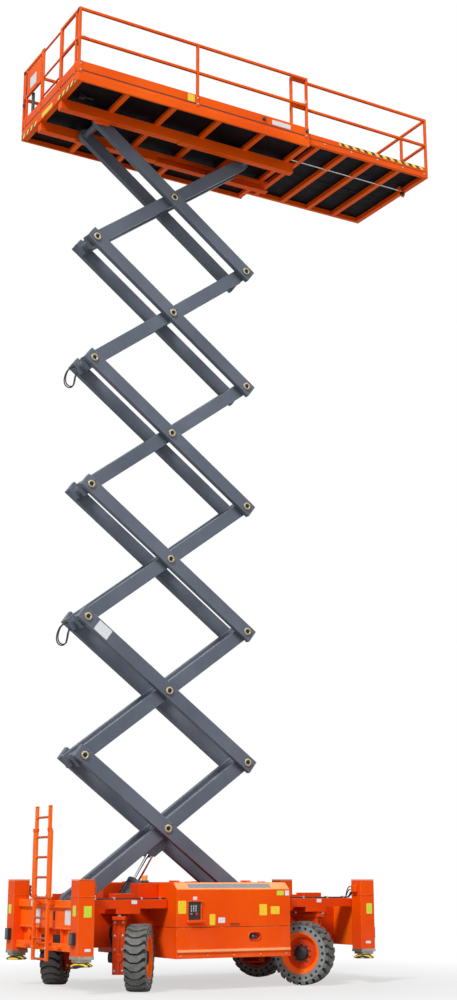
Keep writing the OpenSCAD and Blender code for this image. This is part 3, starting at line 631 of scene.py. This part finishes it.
def upright(number):
    """Bolts, ribs, drive motor and hoses on one steered upright."""
    move = corner_matrix(*CORNERS[number])
    body = f"knuckle_{number}"
    bolts = Batch(f"upright_bolts_{number}", body, STEEL, "zinc", move)
    for i in range(HUB_BOLTS):
        t = FULL_TURN * (i + 0.5) / HUB_BOLTS
        spot = (HUB_CIRCLE * math.cos(t), -0.097, TYRE_R + HUB_CIRCLE * math.sin(t))
        bolts.bolt(spot, (0, -1, 0), 0.024, 0.012)
    for side in (-1, 1):
        for y in (-0.045, 0.065):
            for z in (0.28, 0.56, 0.74, 0.92):
                bolts.bolt((side * 0.164, y, z), (side, 0, 0), 0.022, 0.012)
        bolts.bolt((side * 0.215, 0, 1.0), (0, 0, 1), 0.045, 0.026)
    bolts.done()
    ribs = Batch(f"upright_ribs_{number}", body, ORANGE_LOW_AND_SHADE, "orange", move)
    for side in (-1, 1):
        ribs.box((side * 0.171 - 0.007, -0.006, 0.25), (side * 0.171 + 0.007, 0.016, 0.945), 0.004)
        ribs.turned((side * 0.163, 0.01, TYRE_R), (side, 0, 0), [(0.062, 0), (0.062, 0.01), (0.055, 0.016)])
    ribs.ring((0, 0, TYRE_R), (0, -1, 0), [(0.15, 0.09), (0.192, 0.09), (0.192, 0.102), (0.186, 0.106),
                                           (0.15, 0.106)])
    ribs.done()
    motor = Batch(f"drive_motor_{number}", body, CAST, "engine", move)
    motor.turned((0, 0.094, TYRE_R), (0, 1, 0), [(0.085, 0), (0.085, 0.03), (0.072, 0.036), (0.072, 0.075),
                                                 (0.060, 0.084), (0.03, 0.088)], 36)
    for side in (-1, 1):
        motor.bar((side * PORT_X, PORT_Y, TYRE_R + 0.06), (side * PORT_X, PORT_Y, TYRE_R + 0.105), 0.016)
    motor.done()
    for side in (-1, 1):
        start = Vector((side * PORT_X, PORT_Y, TYRE_R + 0.10))
        hose(f"motor_hose_{number}_{'a' if side < 0 else 'b'}", body,
             [move @ spot for spot in (start, start + Vector((side * 0.01, 0.035, 0.12)),
                                       start + Vector((side * 0.03, 0.043, 0.26)),
                                       start + Vector((side * 0.02, -0.015, 0.36)),
                                       Vector((side * 0.05, 0.06, 0.957)))], 0.011)


for wheel_number in CORNERS:
    wheel(wheel_number)
    upright(wheel_number)


ARM_RUN = Vector((math.cos(ARM_ANGLE), 0, -math.sin(ARM_ANGLE)))
ARM_UP = Vector((math.sin(ARM_ANGLE), 0, math.cos(ARM_ANGLE)))
KEEPER_REACH = 0.088


def pin_caps(stage):
    """Ringed ends of the pins on both faces of an outer pair."""
    body = f"outer_{stage}"
    left = Vector((PIVOT_X, 0, PIVOT_Z + stage * STAGE_H))
    right = left + Vector((STAGE_W, 0, -STAGE_H))
    rings = Batch(f"pin_rings_{stage}", body, BRASS, "zinc")
    # Pin cores in near-black: painted shade inside each ring
    cores = Batch(f"pin_cores_{stage}", body, HOLE_PAINTED_SHADE, "lamp")
    bolts = Batch(f"pin_bolts_{stage}", body, GREY, "arm_grey")
    for spot in (left, (left + right) / 2, right):
        for side in (-1, 1):
            face = spot + Vector((0, side * (OUTER_FACE + HEAD_T), 0))
            out = (0, side, 0)
            rings.ring(face, out, [(0.031, -0.001), (0.059, -0.001), (0.060, 0.006), (0.054, 0.011),
                                   (0.040, 0.012), (0.033, 0.007)])
            cores.turned(face, out, [(0.0335, -0.001), (0.0335, 0.0035), (0.014, 0.0035), (0.012, 0.009)], 24)
            keeper = spot + ARM_UP * KEEPER_REACH + Vector((0, side * OUTER_FACE, 0))
            bolts.bolt(keeper, out, 0.02, 0.01)
    for batch in (rings, cores, bolts):
        batch.done()


for stage_number in range(1, STAGES + 1):
    pin_caps(stage_number)


ARM_PLATE_AT = Vector((PIVOT_X, -OUTER_FACE, PIVOT_Z + 2 * STAGE_H)) + ARM_RUN * 0.31

Batch("arm_plate", "outer_2", WHITE_PLATE, "zinc").plate(
    ARM_PLATE_AT, ARM_RUN, ARM_UP, 0.26, 0.17, 0.003).done()


def hose_loop(stage, index, y, reach):
    """Hose that leaves the low end of an inner pair, hangs in a loop and goes back in."""
    pin = Vector((PIVOT_X, y, PIVOT_Z + stage * STAGE_H))
    route = [pin + Vector((x * reach, 0.004 * step, z * reach)) for step, (x, z) in enumerate((
        (-0.128, -0.034), (-0.185, -0.062), (-0.235, -0.115), (-0.265, -0.19), (-0.276, -0.27),
        (-0.256, -0.337), (-0.195, -0.368), (-0.136, -0.34), (-0.112, -0.27), (-0.098, -0.19),
        (-0.075, -0.115)))]
    hose(f"hose_loop_{stage}_{index}", f"inner_{stage + 1}", route, 0.0095)


for loop_stage in (2, 4):
    hose_loop(loop_stage, 1, 0.120, 1.0)
    hose_loop(loop_stage, 2, 0.148, 1.04)


def blank(name, body, material, spots):
    """Bare plates of one colour on one body."""
    batch = Batch(name, body, material, "zinc")
    for centre, right, up, width, height in spots:
        batch.plate(centre, right, up, width, height, 0.0025, 0.01)
    batch.done()


HOOD_SLOPE = Vector((0, 0.12, 0.10)).normalized()


def on_hood(x, z, width, height):
    return (at(x, -CAB_FACE, z), *NEAR, width, height)


blank("hood_yellow", "hood_near", YELLOW_PLATE, [
    on_hood(-0.845, 1.115, 0.13, 0.175), on_hood(-0.36, 0.945, 0.09, 0.15),
    on_hood(0.475, 1.07, 0.125, 0.155), on_hood(0.675, 1.062, 0.15, 0.11)])
blank("hood_white", "hood_near", WHITE_PLATE, [
    on_hood(-0.21, 0.935, 0.11, 0.075), on_hood(-0.64, 1.235, 0.065, 0.045), on_hood(0.88, 1.30, 0.07, 0.07)])
blank("hood_lime", "hood_near", LIME_PLATE, [on_hood(0.765, 1.30, 0.12, 0.065)])
# Pale strip on the hood bevel: painted reflection of the sky
blank("hood_bevel", "hood_near", PALE_PAINTED_HIGHLIGHT, [
    (at(0, -CAB_FACE + 0.06, 1.40), (1, 0, 0), HOOD_SLOPE, 1.84, 0.145)])
blank("hood_banner", "hood_near", GREY_PLATE, [
    (at(-0.05, -CAB_FACE + 0.0588, 1.4014), (1, 0, 0), HOOD_SLOPE, 1.35, 0.085)])


def on_post(x, z, width, height):
    return (at(x, -POST_Y - POST_HALF, z), *NEAR, width, height)


def on_end(y, z, width, height, out=0.0):
    return (at(-POST_X - out, y, z), *FRONT_END, width, height)


BUMPER_OUT = 0.04
blank("post_lime", "chassis", LIME_PLATE, [
    on_post(-2.28, 1.07, 0.115, 0.15), on_post(2.33, 1.07, 0.10, 0.15),
    on_end(1.15, 1.07, 0.11, 0.13, POST_HALF), on_end(-1.13, 1.08, 0.10, 0.14, POST_HALF)])
blank("post_white", "chassis", WHITE_PLATE, [
    on_post(-2.27, 0.575, 0.09, 0.038), on_post(2.30, 0.59, 0.09, 0.035),
    on_end(0.42, 0.99, 0.26, 0.2), on_end(-0.66, 0.985, 0.2, 0.2)])
# Dark plates in the pockets of the end face: painted shade
blank("end_pockets", "chassis", HOLE_PAINTED_SHADE, [
    on_end(-0.297, 0.665, 0.25, 0.17), on_end(0.13, 0.665, 0.22, 0.15), on_end(-0.19, 1.0, 0.05, 0.12)])
blank("beam_white", "chassis", WHITE_PLATE, [
    on_end(0.52, 1.16, 0.06, 0.08, BUMPER_OUT), on_end(-0.97, 1.165, 0.05, 0.07, BUMPER_OUT),
    (at(-1.46, -1.0, 1.185), *NEAR, 0.085, 0.05), (at(1.60, -1.0, 1.185), *NEAR, 0.085, 0.05)])


def ground_panel():
    """Frame, hood and switches around the ground control panel."""
    low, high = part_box("ground_controls")
    left, right = low.x - 0.012, high.x + 0.045
    bottom, top = low.z - 0.04, high.z + 0.03
    face, inset = low.y, 0.035
    trim = Batch("panel_trim", "hood_near", ORANGE, "orange")
    edge = 0.012
    trim.box((left - 0.02, face - 0.03, bottom - 0.045), (right + 0.045, -CAB_FACE, bottom - edge))
    trim.box((right, face - 0.008, bottom - edge), (right + edge, -CAB_FACE, top + edge))
    trim.box((left - edge, face - 0.008, bottom - edge), (left, -CAB_FACE, top + edge))
    trim.box((left - edge, face - 0.02, top), (right + 0.03, -CAB_FACE, top + 0.014))
    trim.done()
    middle = ((left + right) / 2, -CAB_FACE, (bottom + top) / 2)
    Batch("panel_back", "hood_near", BLACK, "lamp").plate(
        middle, *NEAR, right - left, top - bottom, 0.006).done()
    keys = Batch("panel_keys", "hood_near", WHITE_PLATE, "zinc")
    for height in (0.135, 0.105, 0.075):
        for column in range(3):
            spot = Vector((low.x + inset + 0.036 * column, face, low.z + height))
            keys.turned(spot, (0, -1, 0), [(0.0075, -0.001), (0.0075, 0.006), (0.005, 0.012)], 16)
            keys.plate(spot + Vector((0, 0, 0.014)), *NEAR, 0.02, 0.005, 0.001, 0.002)
    keys.done()
    Batch("panel_stop", "hood_near", RED, "amber").turned(
        (high.x - inset, face, low.z + inset), (0, -1, 0),
        [(0.010, -0.001), (0.010, 0.012), (0.019, 0.014), (0.019, 0.022), (0.014, 0.026)], 28).done()
    spot = Vector((low.x + inset, face, low.z + inset))
    switch = Batch("panel_switch", "hood_near", STEEL, "zinc")
    switch.turned(spot, (0, -1, 0), [(0.013, -0.001), (0.013, 0.008), (0.011, 0.01)], 24)
    switch.bar(spot + Vector((0, -0.008, -0.011)), spot + Vector((0, -0.02, 0.011)), 0.004)
    switch.done()


ground_panel()


LATCH_X = 0.33
LATCH_Z = 0.712
LIP_Z = 0.530
SCREW_Z = 0.465
HANDLE_Z = 0.885


def cabinet_fittings(side, hood, tray):
    """Latch, lip with a painted highlight, seal, louvres, hinges and handle of one cabinet. side is -1 on the
    control side.
    """
    out = (0, side, 0)
    facing = side_face(side)
    face = side * CAB_FACE
    cup = at(LATCH_X, face - side * 0.045, LATCH_Z)
    latch = Batch(f"{tray}_latch", "chassis", BLACK, "lamp")
    latch.plate(cup + Vector((0, side * 0.002, 0)), *facing, 0.105, 0.05, 0.006)
    latch.box((cup.x - 0.05, min(cup.y, cup.y + side * 0.03), cup.z - 0.02),
              (cup.x + 0.035, max(cup.y, cup.y + side * 0.03), cup.z + 0.018))
    latch.done()
    # Cup floor and the ring round its rim: painted shade
    rim = Batch(f"{tray}_cup", "chassis", CUP_PAINTED_SHADE, "orange")
    rim.plate(cup, *facing, 0.178, 0.088, 0.003, 0.04)
    rim.oval(at(LATCH_X, face + side * 0.0065, LATCH_Z), *facing, (0.208, 0.118), (0.184, 0.094), 0.003)
    rim.done()
    # Pale strip along the tray lip: painted highlight
    Batch(f"{tray}_lip", "chassis", PALE_PAINTED_HIGHLIGHT, "orange").plate(
        at(0, face + side * 0.0135, LIP_Z), *facing, 2 * CAB_HALF - 0.02, 0.032, 0.002, 0.006).done()
    Batch(f"{tray}_key", "chassis", STEEL, "zinc").turned(
        cup + Vector((-0.02, side * 0.03, 0)), out, [(0.011, 0), (0.011, 0.006), (0.008, 0.008)], 20).done()
    screws = Batch(f"{tray}_screws", "chassis", STEEL, "zinc")
    for x in (-0.86, -0.43, 0, 0.43, 0.86):
        screws.bolt(at(x, face, SCREW_Z), out, 0.016, 0.007)
    screws.done()
    low_y, high_y = sorted((face - side * 0.012, face - side * 0.02))
    seal = Batch(f"{tray}_seal", "chassis", BLACK, "lamp")
    seal.box(at(-CAB_HALF + 0.03, low_y, 0.838), at(CAB_HALF - 0.03, high_y, 0.8455), 0.002)
    seal.done()
    grille = Batch(f"{hood}_louvres", hood, ORANGE, "orange")
    if side > 0:
        for x in (-0.45, 0.0, 0.45):
            for z in (1.02, 1.07, 1.12, 1.17, 1.22):
                low = at(x - 0.16, face, z)
                grille.prism([low, low + Vector((0, 0, 0.034)), low + Vector((0, side * 0.012, 0.004))],
                             (0.32, 0, 0))
    for end in (-1, 1) if side > 0 else (1,):
        for z in (1.0, 1.05, 1.10, 1.15, 1.20, 1.25):
            low = at(end * CAB_HALF, side * 0.72, z)
            grille.prism([low, low + Vector((0, 0, 0.034)), low + Vector((end * 0.009, 0, 0.004))],
                         (0, side * 0.32, 0))
    for x in (-0.6, 0.6):
        grille.box(at(x - 0.06, side - 0.02, 1.449), at(x + 0.06, side + 0.02, 1.462))
    grille.done()
    handle = Batch(f"{hood}_handle", hood, BLACK, "lamp")
    grip = face + side * 0.014
    for x in (-0.07, 0.07):
        handle.bar(at(x, face - side * 0.01, HANDLE_Z), at(x, grip, HANDLE_Z), 0.006)
    handle.bar(at(-0.075, grip, HANDLE_Z), at(0.075, grip, HANDLE_Z), 0.006)
    handle.done()


cabinet_fittings(-1, "hood_near", "cabinet_near")
cabinet_fittings(1, "hood_far", "cabinet_far")


BAND_Z = (0.455, 0.497)
CAP_SIZE = 2 * POST_HALF + 0.012
VALVE_Z = 1.36
PORT_DROPS = (-0.022, 0.022)


def post_fittings(number):
    """Zinc band, caps, valve block, hoses and lamp lens of one jack post."""
    ex, sy = CORNERS[number]
    mid = at(ex * POST_X, sy * POST_Y, 0)
    band = Batch(f"post_band_{number}", "chassis", ZINC, "zinc")
    outer, inner = POST_HALF + 0.004, POST_HALF - 0.001
    low_z, high_z = BAND_Z
    band.rings([[mid + Vector((x * reach, y * reach, z)) for x, y in ((-1, -1), (1, -1), (1, 1), (-1, 1))]
                for z, reach in ((low_z, outer), (high_z, outer), (high_z, inner), (low_z, inner))], True)
    band.done()
    cap = Batch(f"post_cap_{number}", "chassis", ORANGE, "orange")
    for z in (1.262, 1.484):
        cap.plate(mid + Vector((0, 0, z)), *FLAT, CAP_SIZE, CAP_SIZE, 0.008, 0.01)
    inward, toward = Vector((-ex, 0, 0)), Vector((0, -sy, 0))
    block = mid + inward * (POST_HALF + 0.03) + Vector((0, 0, VALVE_Z))
    half_block = Vector((0.03, 0.05, 0.05))
    cap.box(block - half_block, block + half_block, 0.008)
    cap.done()
    fitting = Batch(f"post_valve_{number}", "chassis", STEEL, "zinc")
    for dz in PORT_DROPS:
        start = block + Vector((0, 0, dz)) + toward * 0.05
        fitting.bolt(start, toward, 0.026, 0.02)
        fitting.bar(start, start + toward * 0.045, 0.008)
    fitting.done()
    for index, dz in enumerate(PORT_DROPS):
        start = block + Vector((0, 0, dz)) + toward * 0.09
        hose(f"post_hose_{number}_{index + 1}", "chassis",
             [start, start + toward * 0.05, start + toward * 0.10 + Vector((0, 0, -0.05)),
              start + toward * 0.13 + inward * 0.02 + Vector((0, 0, -0.15 - dz)),
              at(ex * (POST_X - 0.19), sy * (0.86 - 0.03 * index), 1.18)], 0.008)
    Batch(f"lamp_lens_{number}", "chassis", LENS, "lamp").plate(
        at(ex * (POST_X + POST_HALF + 0.05), sy * POST_Y, 0.72), (0, ex, 0), (0, 0, 1),
        0.10, 0.135, 0.005, 0.02).done()


for post_number in CORNERS:
    post_fittings(post_number)


RAIL_TOP = 1.219
CLIP_TOP = 1.247
PIPE_Z = 1.232
CLIP_Y = 0.957


def rail_lines(number):
    """Two pipes clipped along the top of one side rail."""
    ex, sy = CORNERS[number]
    clips = Batch(f"rail_clips_{number}", "chassis", STEEL, "zinc")
    for x in (1.05, 1.34, 1.76, 2.05):
        clips.box(at(ex * x - 0.015, sy * CLIP_Y - 0.034, RAIL_TOP),
                  at(ex * x + 0.015, sy * CLIP_Y + 0.034, CLIP_TOP))
        clips.bolt(at(ex * x, sy * CLIP_Y, CLIP_TOP), (0, 0, 1), 0.014, 0.008)
    clips.done()
    for index, y in enumerate((0.943, 0.971)):
        route = [at(ex * x, sy * y, PIPE_Z) for x in (0.96, 1.3, 1.7, 2.1)]
        route += [at(ex * 2.16, sy * (y + 0.02), 1.25), at(ex * 2.179, sy * (y + 0.05), 1.31)]
        line(f"rail_pipe_{number}_{index + 1}", "chassis", route, 0.010, HOSE, 4)


for rail_number in CORNERS:
    rail_lines(rail_number)


LADDER_X = -POST_X - 0.14
LADDER_Y = -0.04
RUNGS = 8
FIRST_RUNG = 0.42
RUNG_STEP = 0.275
STILE_HALF = 0.235


def ladder_details():
    """Grips on the rungs, collars, caps and bolts of the stiles."""
    grips = Batch("rung_grips", "chassis", BLACK, "lamp")
    collars = Batch("ladder_collars", "chassis", ORANGE, "orange")
    bolts = Batch("ladder_bolts", "chassis", STEEL, "zinc")
    x = LADDER_X
    for i in range(RUNGS):
        for k in range(6):
            y = LADDER_Y + 0.06 * (k - 2.5)
            grips.ring(at(x, y - 0.012, FIRST_RUNG + RUNG_STEP * i), (0, 1, 0),
                       [(0.0162, 0), (0.0176, 0.004), (0.0176, 0.02), (0.0162, 0.024)], 20)
    for side in (-1, 1):
        y = LADDER_Y + side * STILE_HALF
        ear = 0.045 if side > 0 else 0
        for z in (1.24, 2.15):
            collars.box(at(x - 0.027, y - 0.032, z), at(x + 0.027, y + 0.032 + ear, z + 0.045))
        collars.box(at(x - 0.022, y - 0.027, 2.494), at(x + 0.022, y + 0.027, 2.506))
        for z in (0.57, 1.18):
            bolts.bolt(at(x - 0.02, y, z), (-1, 0, 0), 0.024, 0.012)
    for batch in (grips, collars, bolts):
        batch.done()


ladder_details()


PLAT_POSTS = (-2.68, -0.60, 1.49)
PIN_POSTS = (-2.62, 1.44)
SEAM_Z = PLAT_LOW + 0.19


def platform_details():
    """Stripes, plates, painted shadow at the seams, straps, bolts, knobs, rail pins and end panel of the
    platform.
    """
    end = -PLAT_BACK
    stripes = Batch("platform_stripes", "platform", STRIPES, "amber")
    for y_mid, width in ((-0.70, 0.66), (0.80, 0.62)):
        stripes.plate(at(end, y_mid, PLAT_LOW + 0.04), *FRONT_END, width, 0.06, 0.002, 0.004)
    stripes.done()
    blank("platform_yellow", "platform", YELLOW_PLATE, [
        (at(end, 0.06, PLAT_LOW + 0.05), *FRONT_END, 0.42, 0.085),
        (at(-0.72, -PLAT_HALF, PLAT_LOW + 0.27), *NEAR, 0.13, 0.13)])
    # Dark strip at the toe board's seam: painted shadow in the gap
    gap_shadows = Batch("platform_gaps", "platform", SEAM_PAINTED_SHADOW, "orange")
    for side in (-1, 1):
        gap_shadows.plate(at((PLAT_FRONT - PLAT_BACK) / 2, side * PLAT_HALF, SEAM_Z), *side_face(side),
                   PLAT_FRONT + PLAT_BACK - 0.05, 0.022, 0.002, 0.004)
    gap_shadows.plate(at(end, 0, SEAM_Z), *FRONT_END, 2 * PLAT_HALF - 0.05, 0.022, 0.002, 0.004)
    gap_shadows.done()
    straps = Batch("platform_straps", "platform", ORANGE_HIGH, "orange")
    for y in (-1.09, -0.99, -0.43, 0.35, 0.99, 1.09):
        straps.plate(at(end, y, PLAT_LOW + 0.255), *FRONT_END, 0.045, 0.19, 0.009, 0.004)
    for y in (-0.99, 0.99):
        straps.box(at(end + 0.002, y - 0.018, PLAT_LOW + 0.349), at(end + 0.036, y + 0.018, PLAT_LOW + 1.242))
    for x in PLAT_POSTS:
        for side in (-1, 1):
            straps.plate(at(x, side * PLAT_HALF, PLAT_LOW + 0.25), *side_face(side), 0.055, 0.2, 0.010, 0.004)
    straps.done()
    under = Batch("platform_valves", "platform", BLACK, "lamp")
    for x, y in ((-2.42, -0.62), (-2.05, 0.55)):
        under.box(at(x - 0.05, y - 0.035, PLAT_LOW + 0.015), at(x + 0.05, y + 0.035, PLAT_LOW + 0.085), 0.008)
        under.bar(at(x + 0.05, y, PLAT_LOW + 0.05), at(x + 0.20, y, PLAT_LOW + 0.05), 0.012)
    under.done()
    bolts = Batch("platform_bolts", "platform", STEEL, "zinc")
    for x in PLAT_POSTS:
        for z in (0.19, 0.29):
            for side in (-1, 1):
                bolts.bolt(at(x, side * (PLAT_HALF + 0.010), PLAT_LOW + z), (0, side, 0), 0.02, 0.010)
    bolts.done()
    knobs = Batch("toe_knobs", "platform", BLACK, "lamp")
    for side in (-1, 1):
        for x in (0.66, 1.50):
            knobs.turned(at(x, side * PLAT_HALF, PLAT_LOW + 0.275), (0, side, 0), [
                (0.034, -0.001), (0.034, 0.008), (0.022, 0.012), (0.022, 0.02), (0.030, 0.023),
                (0.026, 0.031)], 28)
    for y in (-PLAT_HALF + 0.03, PLAT_HALF - 0.03):
        for z in (PLAT_LOW + 0.62, PLAT_LOW + 1.22):
            knobs.box(at(end - 0.010, y - 0.024, z), at(end + 0.012, y + 0.024, z + 0.05))
    knobs.done()
    blank("toe_white", "platform", WHITE_PLATE, [(at(1.0, -PLAT_HALF, PLAT_LOW + 0.265), *NEAR, 0.36, 0.085)])
    pins = Batch("rail_pins", "platform", CHROME, "chrome")
    for x in PIN_POSTS:
        for side in (-1, 1):
            y = side * (PLAT_HALF - 0.005)
            pins.bar(at(x, y - 0.035, PLAT_LOW + 0.79), at(x, y + 0.035, PLAT_LOW + 0.79), 0.006, 12)
    pins.done()
    turns = [math.radians(20 + 32 * k) for k in range(11)]
    for index, x in enumerate(PIN_POSTS):
        for side in (-1, 1):
            y = side * (PLAT_HALF + 0.025)
            loop = [at(x + 0.045 * math.sin(t), y, PLAT_LOW + 0.815 + 0.035 * math.cos(t)) for t in turns]
            line(f"pin_ring_{index + 1}_{'near' if side < 0 else 'far'}", "platform", loop,
                 0.004, CHROME, 3)
    Batch("end_panel", "platform", ORANGE_HIGH, "orange").plate(
        at(end + 0.012, 0.745, PLAT_LOW + 0.985), *FRONT_END, 0.70, 0.44, 0.010, 0.02).done()
    blank("end_panel_plate", "platform", WHITE_PLATE, [
        (at(end + 0.002, 0.70, PLAT_LOW + 0.92), *FRONT_END, 0.26, 0.2)])
    foot = at(end + 0.06, 0.82, PLAT_LOW + 0.38)
    Batch("document_tube", "platform", BLACK, "lamp").bar(foot, foot + Vector((0, 0, 0.38)), 0.028, 20).done()


platform_details()


def control_box():
    """Joystick, buttons and face plate of the platform controls."""
    low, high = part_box("platform_controls")
    mid = Vector(((low.x + high.x) / 2, (low.y + high.y) / 2, high.z))
    Batch("box_stick", "platform", BLACK, "lamp").turned(
        mid + Vector((-0.06, 0, 0)), (0, 0, 1), [(0.032, -0.001), (0.03, 0.012), (0.012, 0.03)], 24).done()
    keys = Batch("box_keys", "platform", WHITE_PLATE, "zinc")
    for i in range(4):
        for k in range(2):
            keys.turned((low.x + 0.14 + 0.03 * i, mid.y - 0.03 + 0.05 * k, high.z), (0, 0, 1),
                        [(0.009, -0.001), (0.009, 0.006), (0.007, 0.009)], 16)
    keys.done()
    Batch("box_face", "platform", GREY_PLATE, "zinc").plate(
        (mid.x, low.y, (low.z + high.z) / 2), *NEAR, 0.2, 0.18, 0.003).done()


control_box()


ROD_Y = -0.42
HANGER_X = 4.03


def extension_details():
    """Stripes, painted shadow along the seams, slide rod with its brackets and stop, and bolts of the
    roll-out deck.
    """
    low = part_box("extension_frame")[0].z
    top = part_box("extension_frame")[1].z
    stripes = Batch("extension_stripes", "extension", STRIPES, "amber")
    # Dark strips along the roll-out deck's sides: painted shadow in the gaps
    gap_shadows = Batch("extension_gaps", "extension", SEAM_PAINTED_SHADOW, "orange")
    for side in (-1, 1):
        stripes.plate(at(3.1, side * EXT_HALF, top - 0.03), *side_face(side), 1.8, 0.05, 0.002, 0.004)
        gap_shadows.plate(at(2.8, side * EXT_HALF, low + 0.105), *side_face(side), 2.5, 0.012, 0.002, 0.004)
    stripes.done()
    gap_shadows.done()
    # Dark strip along the deck seam: painted shade in the gap
    Batch("extension_seam", "extension", HOLE_PAINTED_SHADE, "lamp").plate(
        at(2.72, 0.14, low + 0.0795), (1, 0, 0), (0, -1, 0), 2.6, 0.02, 0.002, 0.004).done()
    Batch("extension_rod", "extension", CHROME, "chrome").bar(
        at(1.30, ROD_Y, low + 0.016), at(4.07, ROD_Y, low + 0.016), 0.012).done()
    brackets = Batch("extension_brackets", "extension", ORANGE_HIGH, "orange")
    for x in (1.82, 3.95):
        brackets.box(at(x - 0.02, ROD_Y - 0.03, low + 0.002), at(x + 0.02, ROD_Y + 0.03, low + 0.08))
    brackets.box(at(HANGER_X, ROD_Y - 0.04, low - 0.07), at(HANGER_X + 0.025, ROD_Y + 0.04, low + 0.06))
    brackets.box(at(HANGER_X, ROD_Y + 0.035, low - 0.07), at(HANGER_X + 0.065, ROD_Y + 0.05, low + 0.02))
    brackets.done()
    Batch("rod_stop", "extension", BLACK, "lamp").turned(
        at(3.985, ROD_Y, low - 0.035), (1, 0, 0),
        [(0.022, 0), (0.03, 0.006), (0.03, 0.04), (0.022, 0.046)], 24).done()
    bolts = Batch("extension_bolts", "extension", STEEL, "zinc")
    for x in (1.9, 2.45, 3.0, 3.55, 4.02):
        for side in (-1, 1):
            bolts.bolt(at(x, side * EXT_HALF, low + 0.075), (0, side, 0), 0.022, 0.010)
    bolts.done()


extension_details()


def cylinder_details():
    """Gland and pipe of the lift cylinder."""
    foot = at(-1.40, 0, 0.74)
    along, drop = ARM_LEN / 2 - 0.25, 0.19
    eye = Vector((PIVOT_X + along * math.cos(ARM_ANGLE) + drop * math.sin(ARM_ANGLE), 0,
                  PIVOT_Z + along * math.sin(ARM_ANGLE) - drop * math.cos(ARM_ANGLE)))
    axis = (eye - foot).normalized()
    Batch("cylinder_gland", "lift_barrel", GREY, "arm_grey").ring(foot + axis * 0.80, axis, [
        (0.058, 0.0), (0.112, 0.0), (0.118, 0.01), (0.118, 0.055), (0.108, 0.068), (0.062, 0.075),
        (0.058, 0.07)]).done()
    side = axis.cross(Vector((0, 1, 0)))
    route = [foot + axis * run + side * out for run, out in (
        (0.16, 0.10), (0.2, 0.128), (0.5, 0.128), (0.74, 0.128), (0.79, 0.105))]
    line("cylinder_pipe", "lift_barrel", route, 0.011, HOSE)


cylinder_details()


# Floor: glow towards white between two distances, seen by the camera alone
FADE_FROM, FADE_TO, FADE_LOW = 2.0, 7.0, 0.60
WORLD_LIGHT = 0.30
# Suns: name, tilt and heading in degrees, strength, width in degrees
SUNS = (("key", 46, -58, 2.7, 14), ("fill", 58, 12, 0.84, 60))
# Camera as fitted to the photo: focal length over picture height, place, tilt and heading
SENSOR = 36
FOCAL = 1461.8 / 1000
CAMERA_AT = (-10.888 + SHIFT, -19.747, 1.5)
CAMERA_TILT = 0.2535
CAMERA_HEADING = -0.528


def stage_scene():
    """Floor, world, lamps and camera."""
    scene = bpy.context.scene
    scene.view_settings.view_transform = "Standard"
    bpy.ops.mesh.primitive_plane_add(size=160, location=(0, 0, 0))
    floor = bpy.context.object
    floor.name = "floor"
    s = Shader("floor_paper")
    s.set(Base_Color=s.mix(s.noise(0.4), srgb(198, 199, 198), srgb(190, 191, 191)), Roughness=0.9)
    s.set(Specular_IOR_Level=0.0)
    reach = s.add("ShaderNodeVectorMath", operation="LENGTH")
    s.put(reach.inputs[0], s.spot)
    seen = s.add("ShaderNodeLightPath").outputs["Is Camera Ray"]
    fade = s.math("MULTIPLY", s.span(reach.outputs["Value"], FADE_FROM, FADE_TO, FADE_LOW, 1.0), seen)
    glow = s.add("ShaderNodeEmission")
    glow.inputs["Color"].default_value = (1, 1, 1, 1)
    blend = s.add("ShaderNodeMixShader")
    s.put(blend.inputs[0], fade)
    s.put(blend.inputs[1], s.bsdf.outputs[0])
    s.put(blend.inputs[2], glow.outputs[0])
    s.put(s.tree.nodes["Material Output"].inputs["Surface"], blend.outputs[0])
    floor.data.materials.append(s.mat)
    world = bpy.data.worlds.new("studio")
    scene.world = world
    world.use_nodes = True
    tree = world.node_tree
    back = tree.nodes["Background"]
    path = tree.nodes.new("ShaderNodeLightPath")
    seen = path.outputs["Is Camera Ray"]
    for ray in ("Is Transmission Ray", "Is Glossy Ray"):
        either = tree.nodes.new("ShaderNodeMath")
        either.operation = "MAXIMUM"
        tree.links.new(seen, either.inputs[0])
        tree.links.new(path.outputs[ray], either.inputs[1])
        seen = either.outputs[0]
    level = tree.nodes.new("ShaderNodeMapRange")
    tree.links.new(seen, level.inputs[0])
    level.inputs[3].default_value = WORLD_LIGHT
    level.inputs[4].default_value = 1.0
    tree.links.new(level.outputs[0], back.inputs["Strength"])
    back.inputs["Color"].default_value = (1, 1, 1, 1)
    for name, tilt, heading, strength, width in SUNS:
        lamp = bpy.data.lights.new(name, "SUN")
        lamp.energy = strength
        lamp.angle = math.radians(width)
        holder = bpy.data.objects.new(name, lamp)
        holder.rotation_euler = (math.radians(tilt), 0, math.radians(heading))
        scene.collection.objects.link(holder)
    camera = bpy.data.cameras.new("camera")
    camera.sensor_width = SENSOR
    camera.lens = FOCAL * SENSOR
    camera.clip_end = 300
    holder = bpy.data.objects.new("camera", camera)
    holder.location = CAMERA_AT
    holder.rotation_euler = (math.pi / 2 + CAMERA_TILT, 0, CAMERA_HEADING)
    scene.collection.objects.link(holder)
    scene.camera = holder


stage_scene()
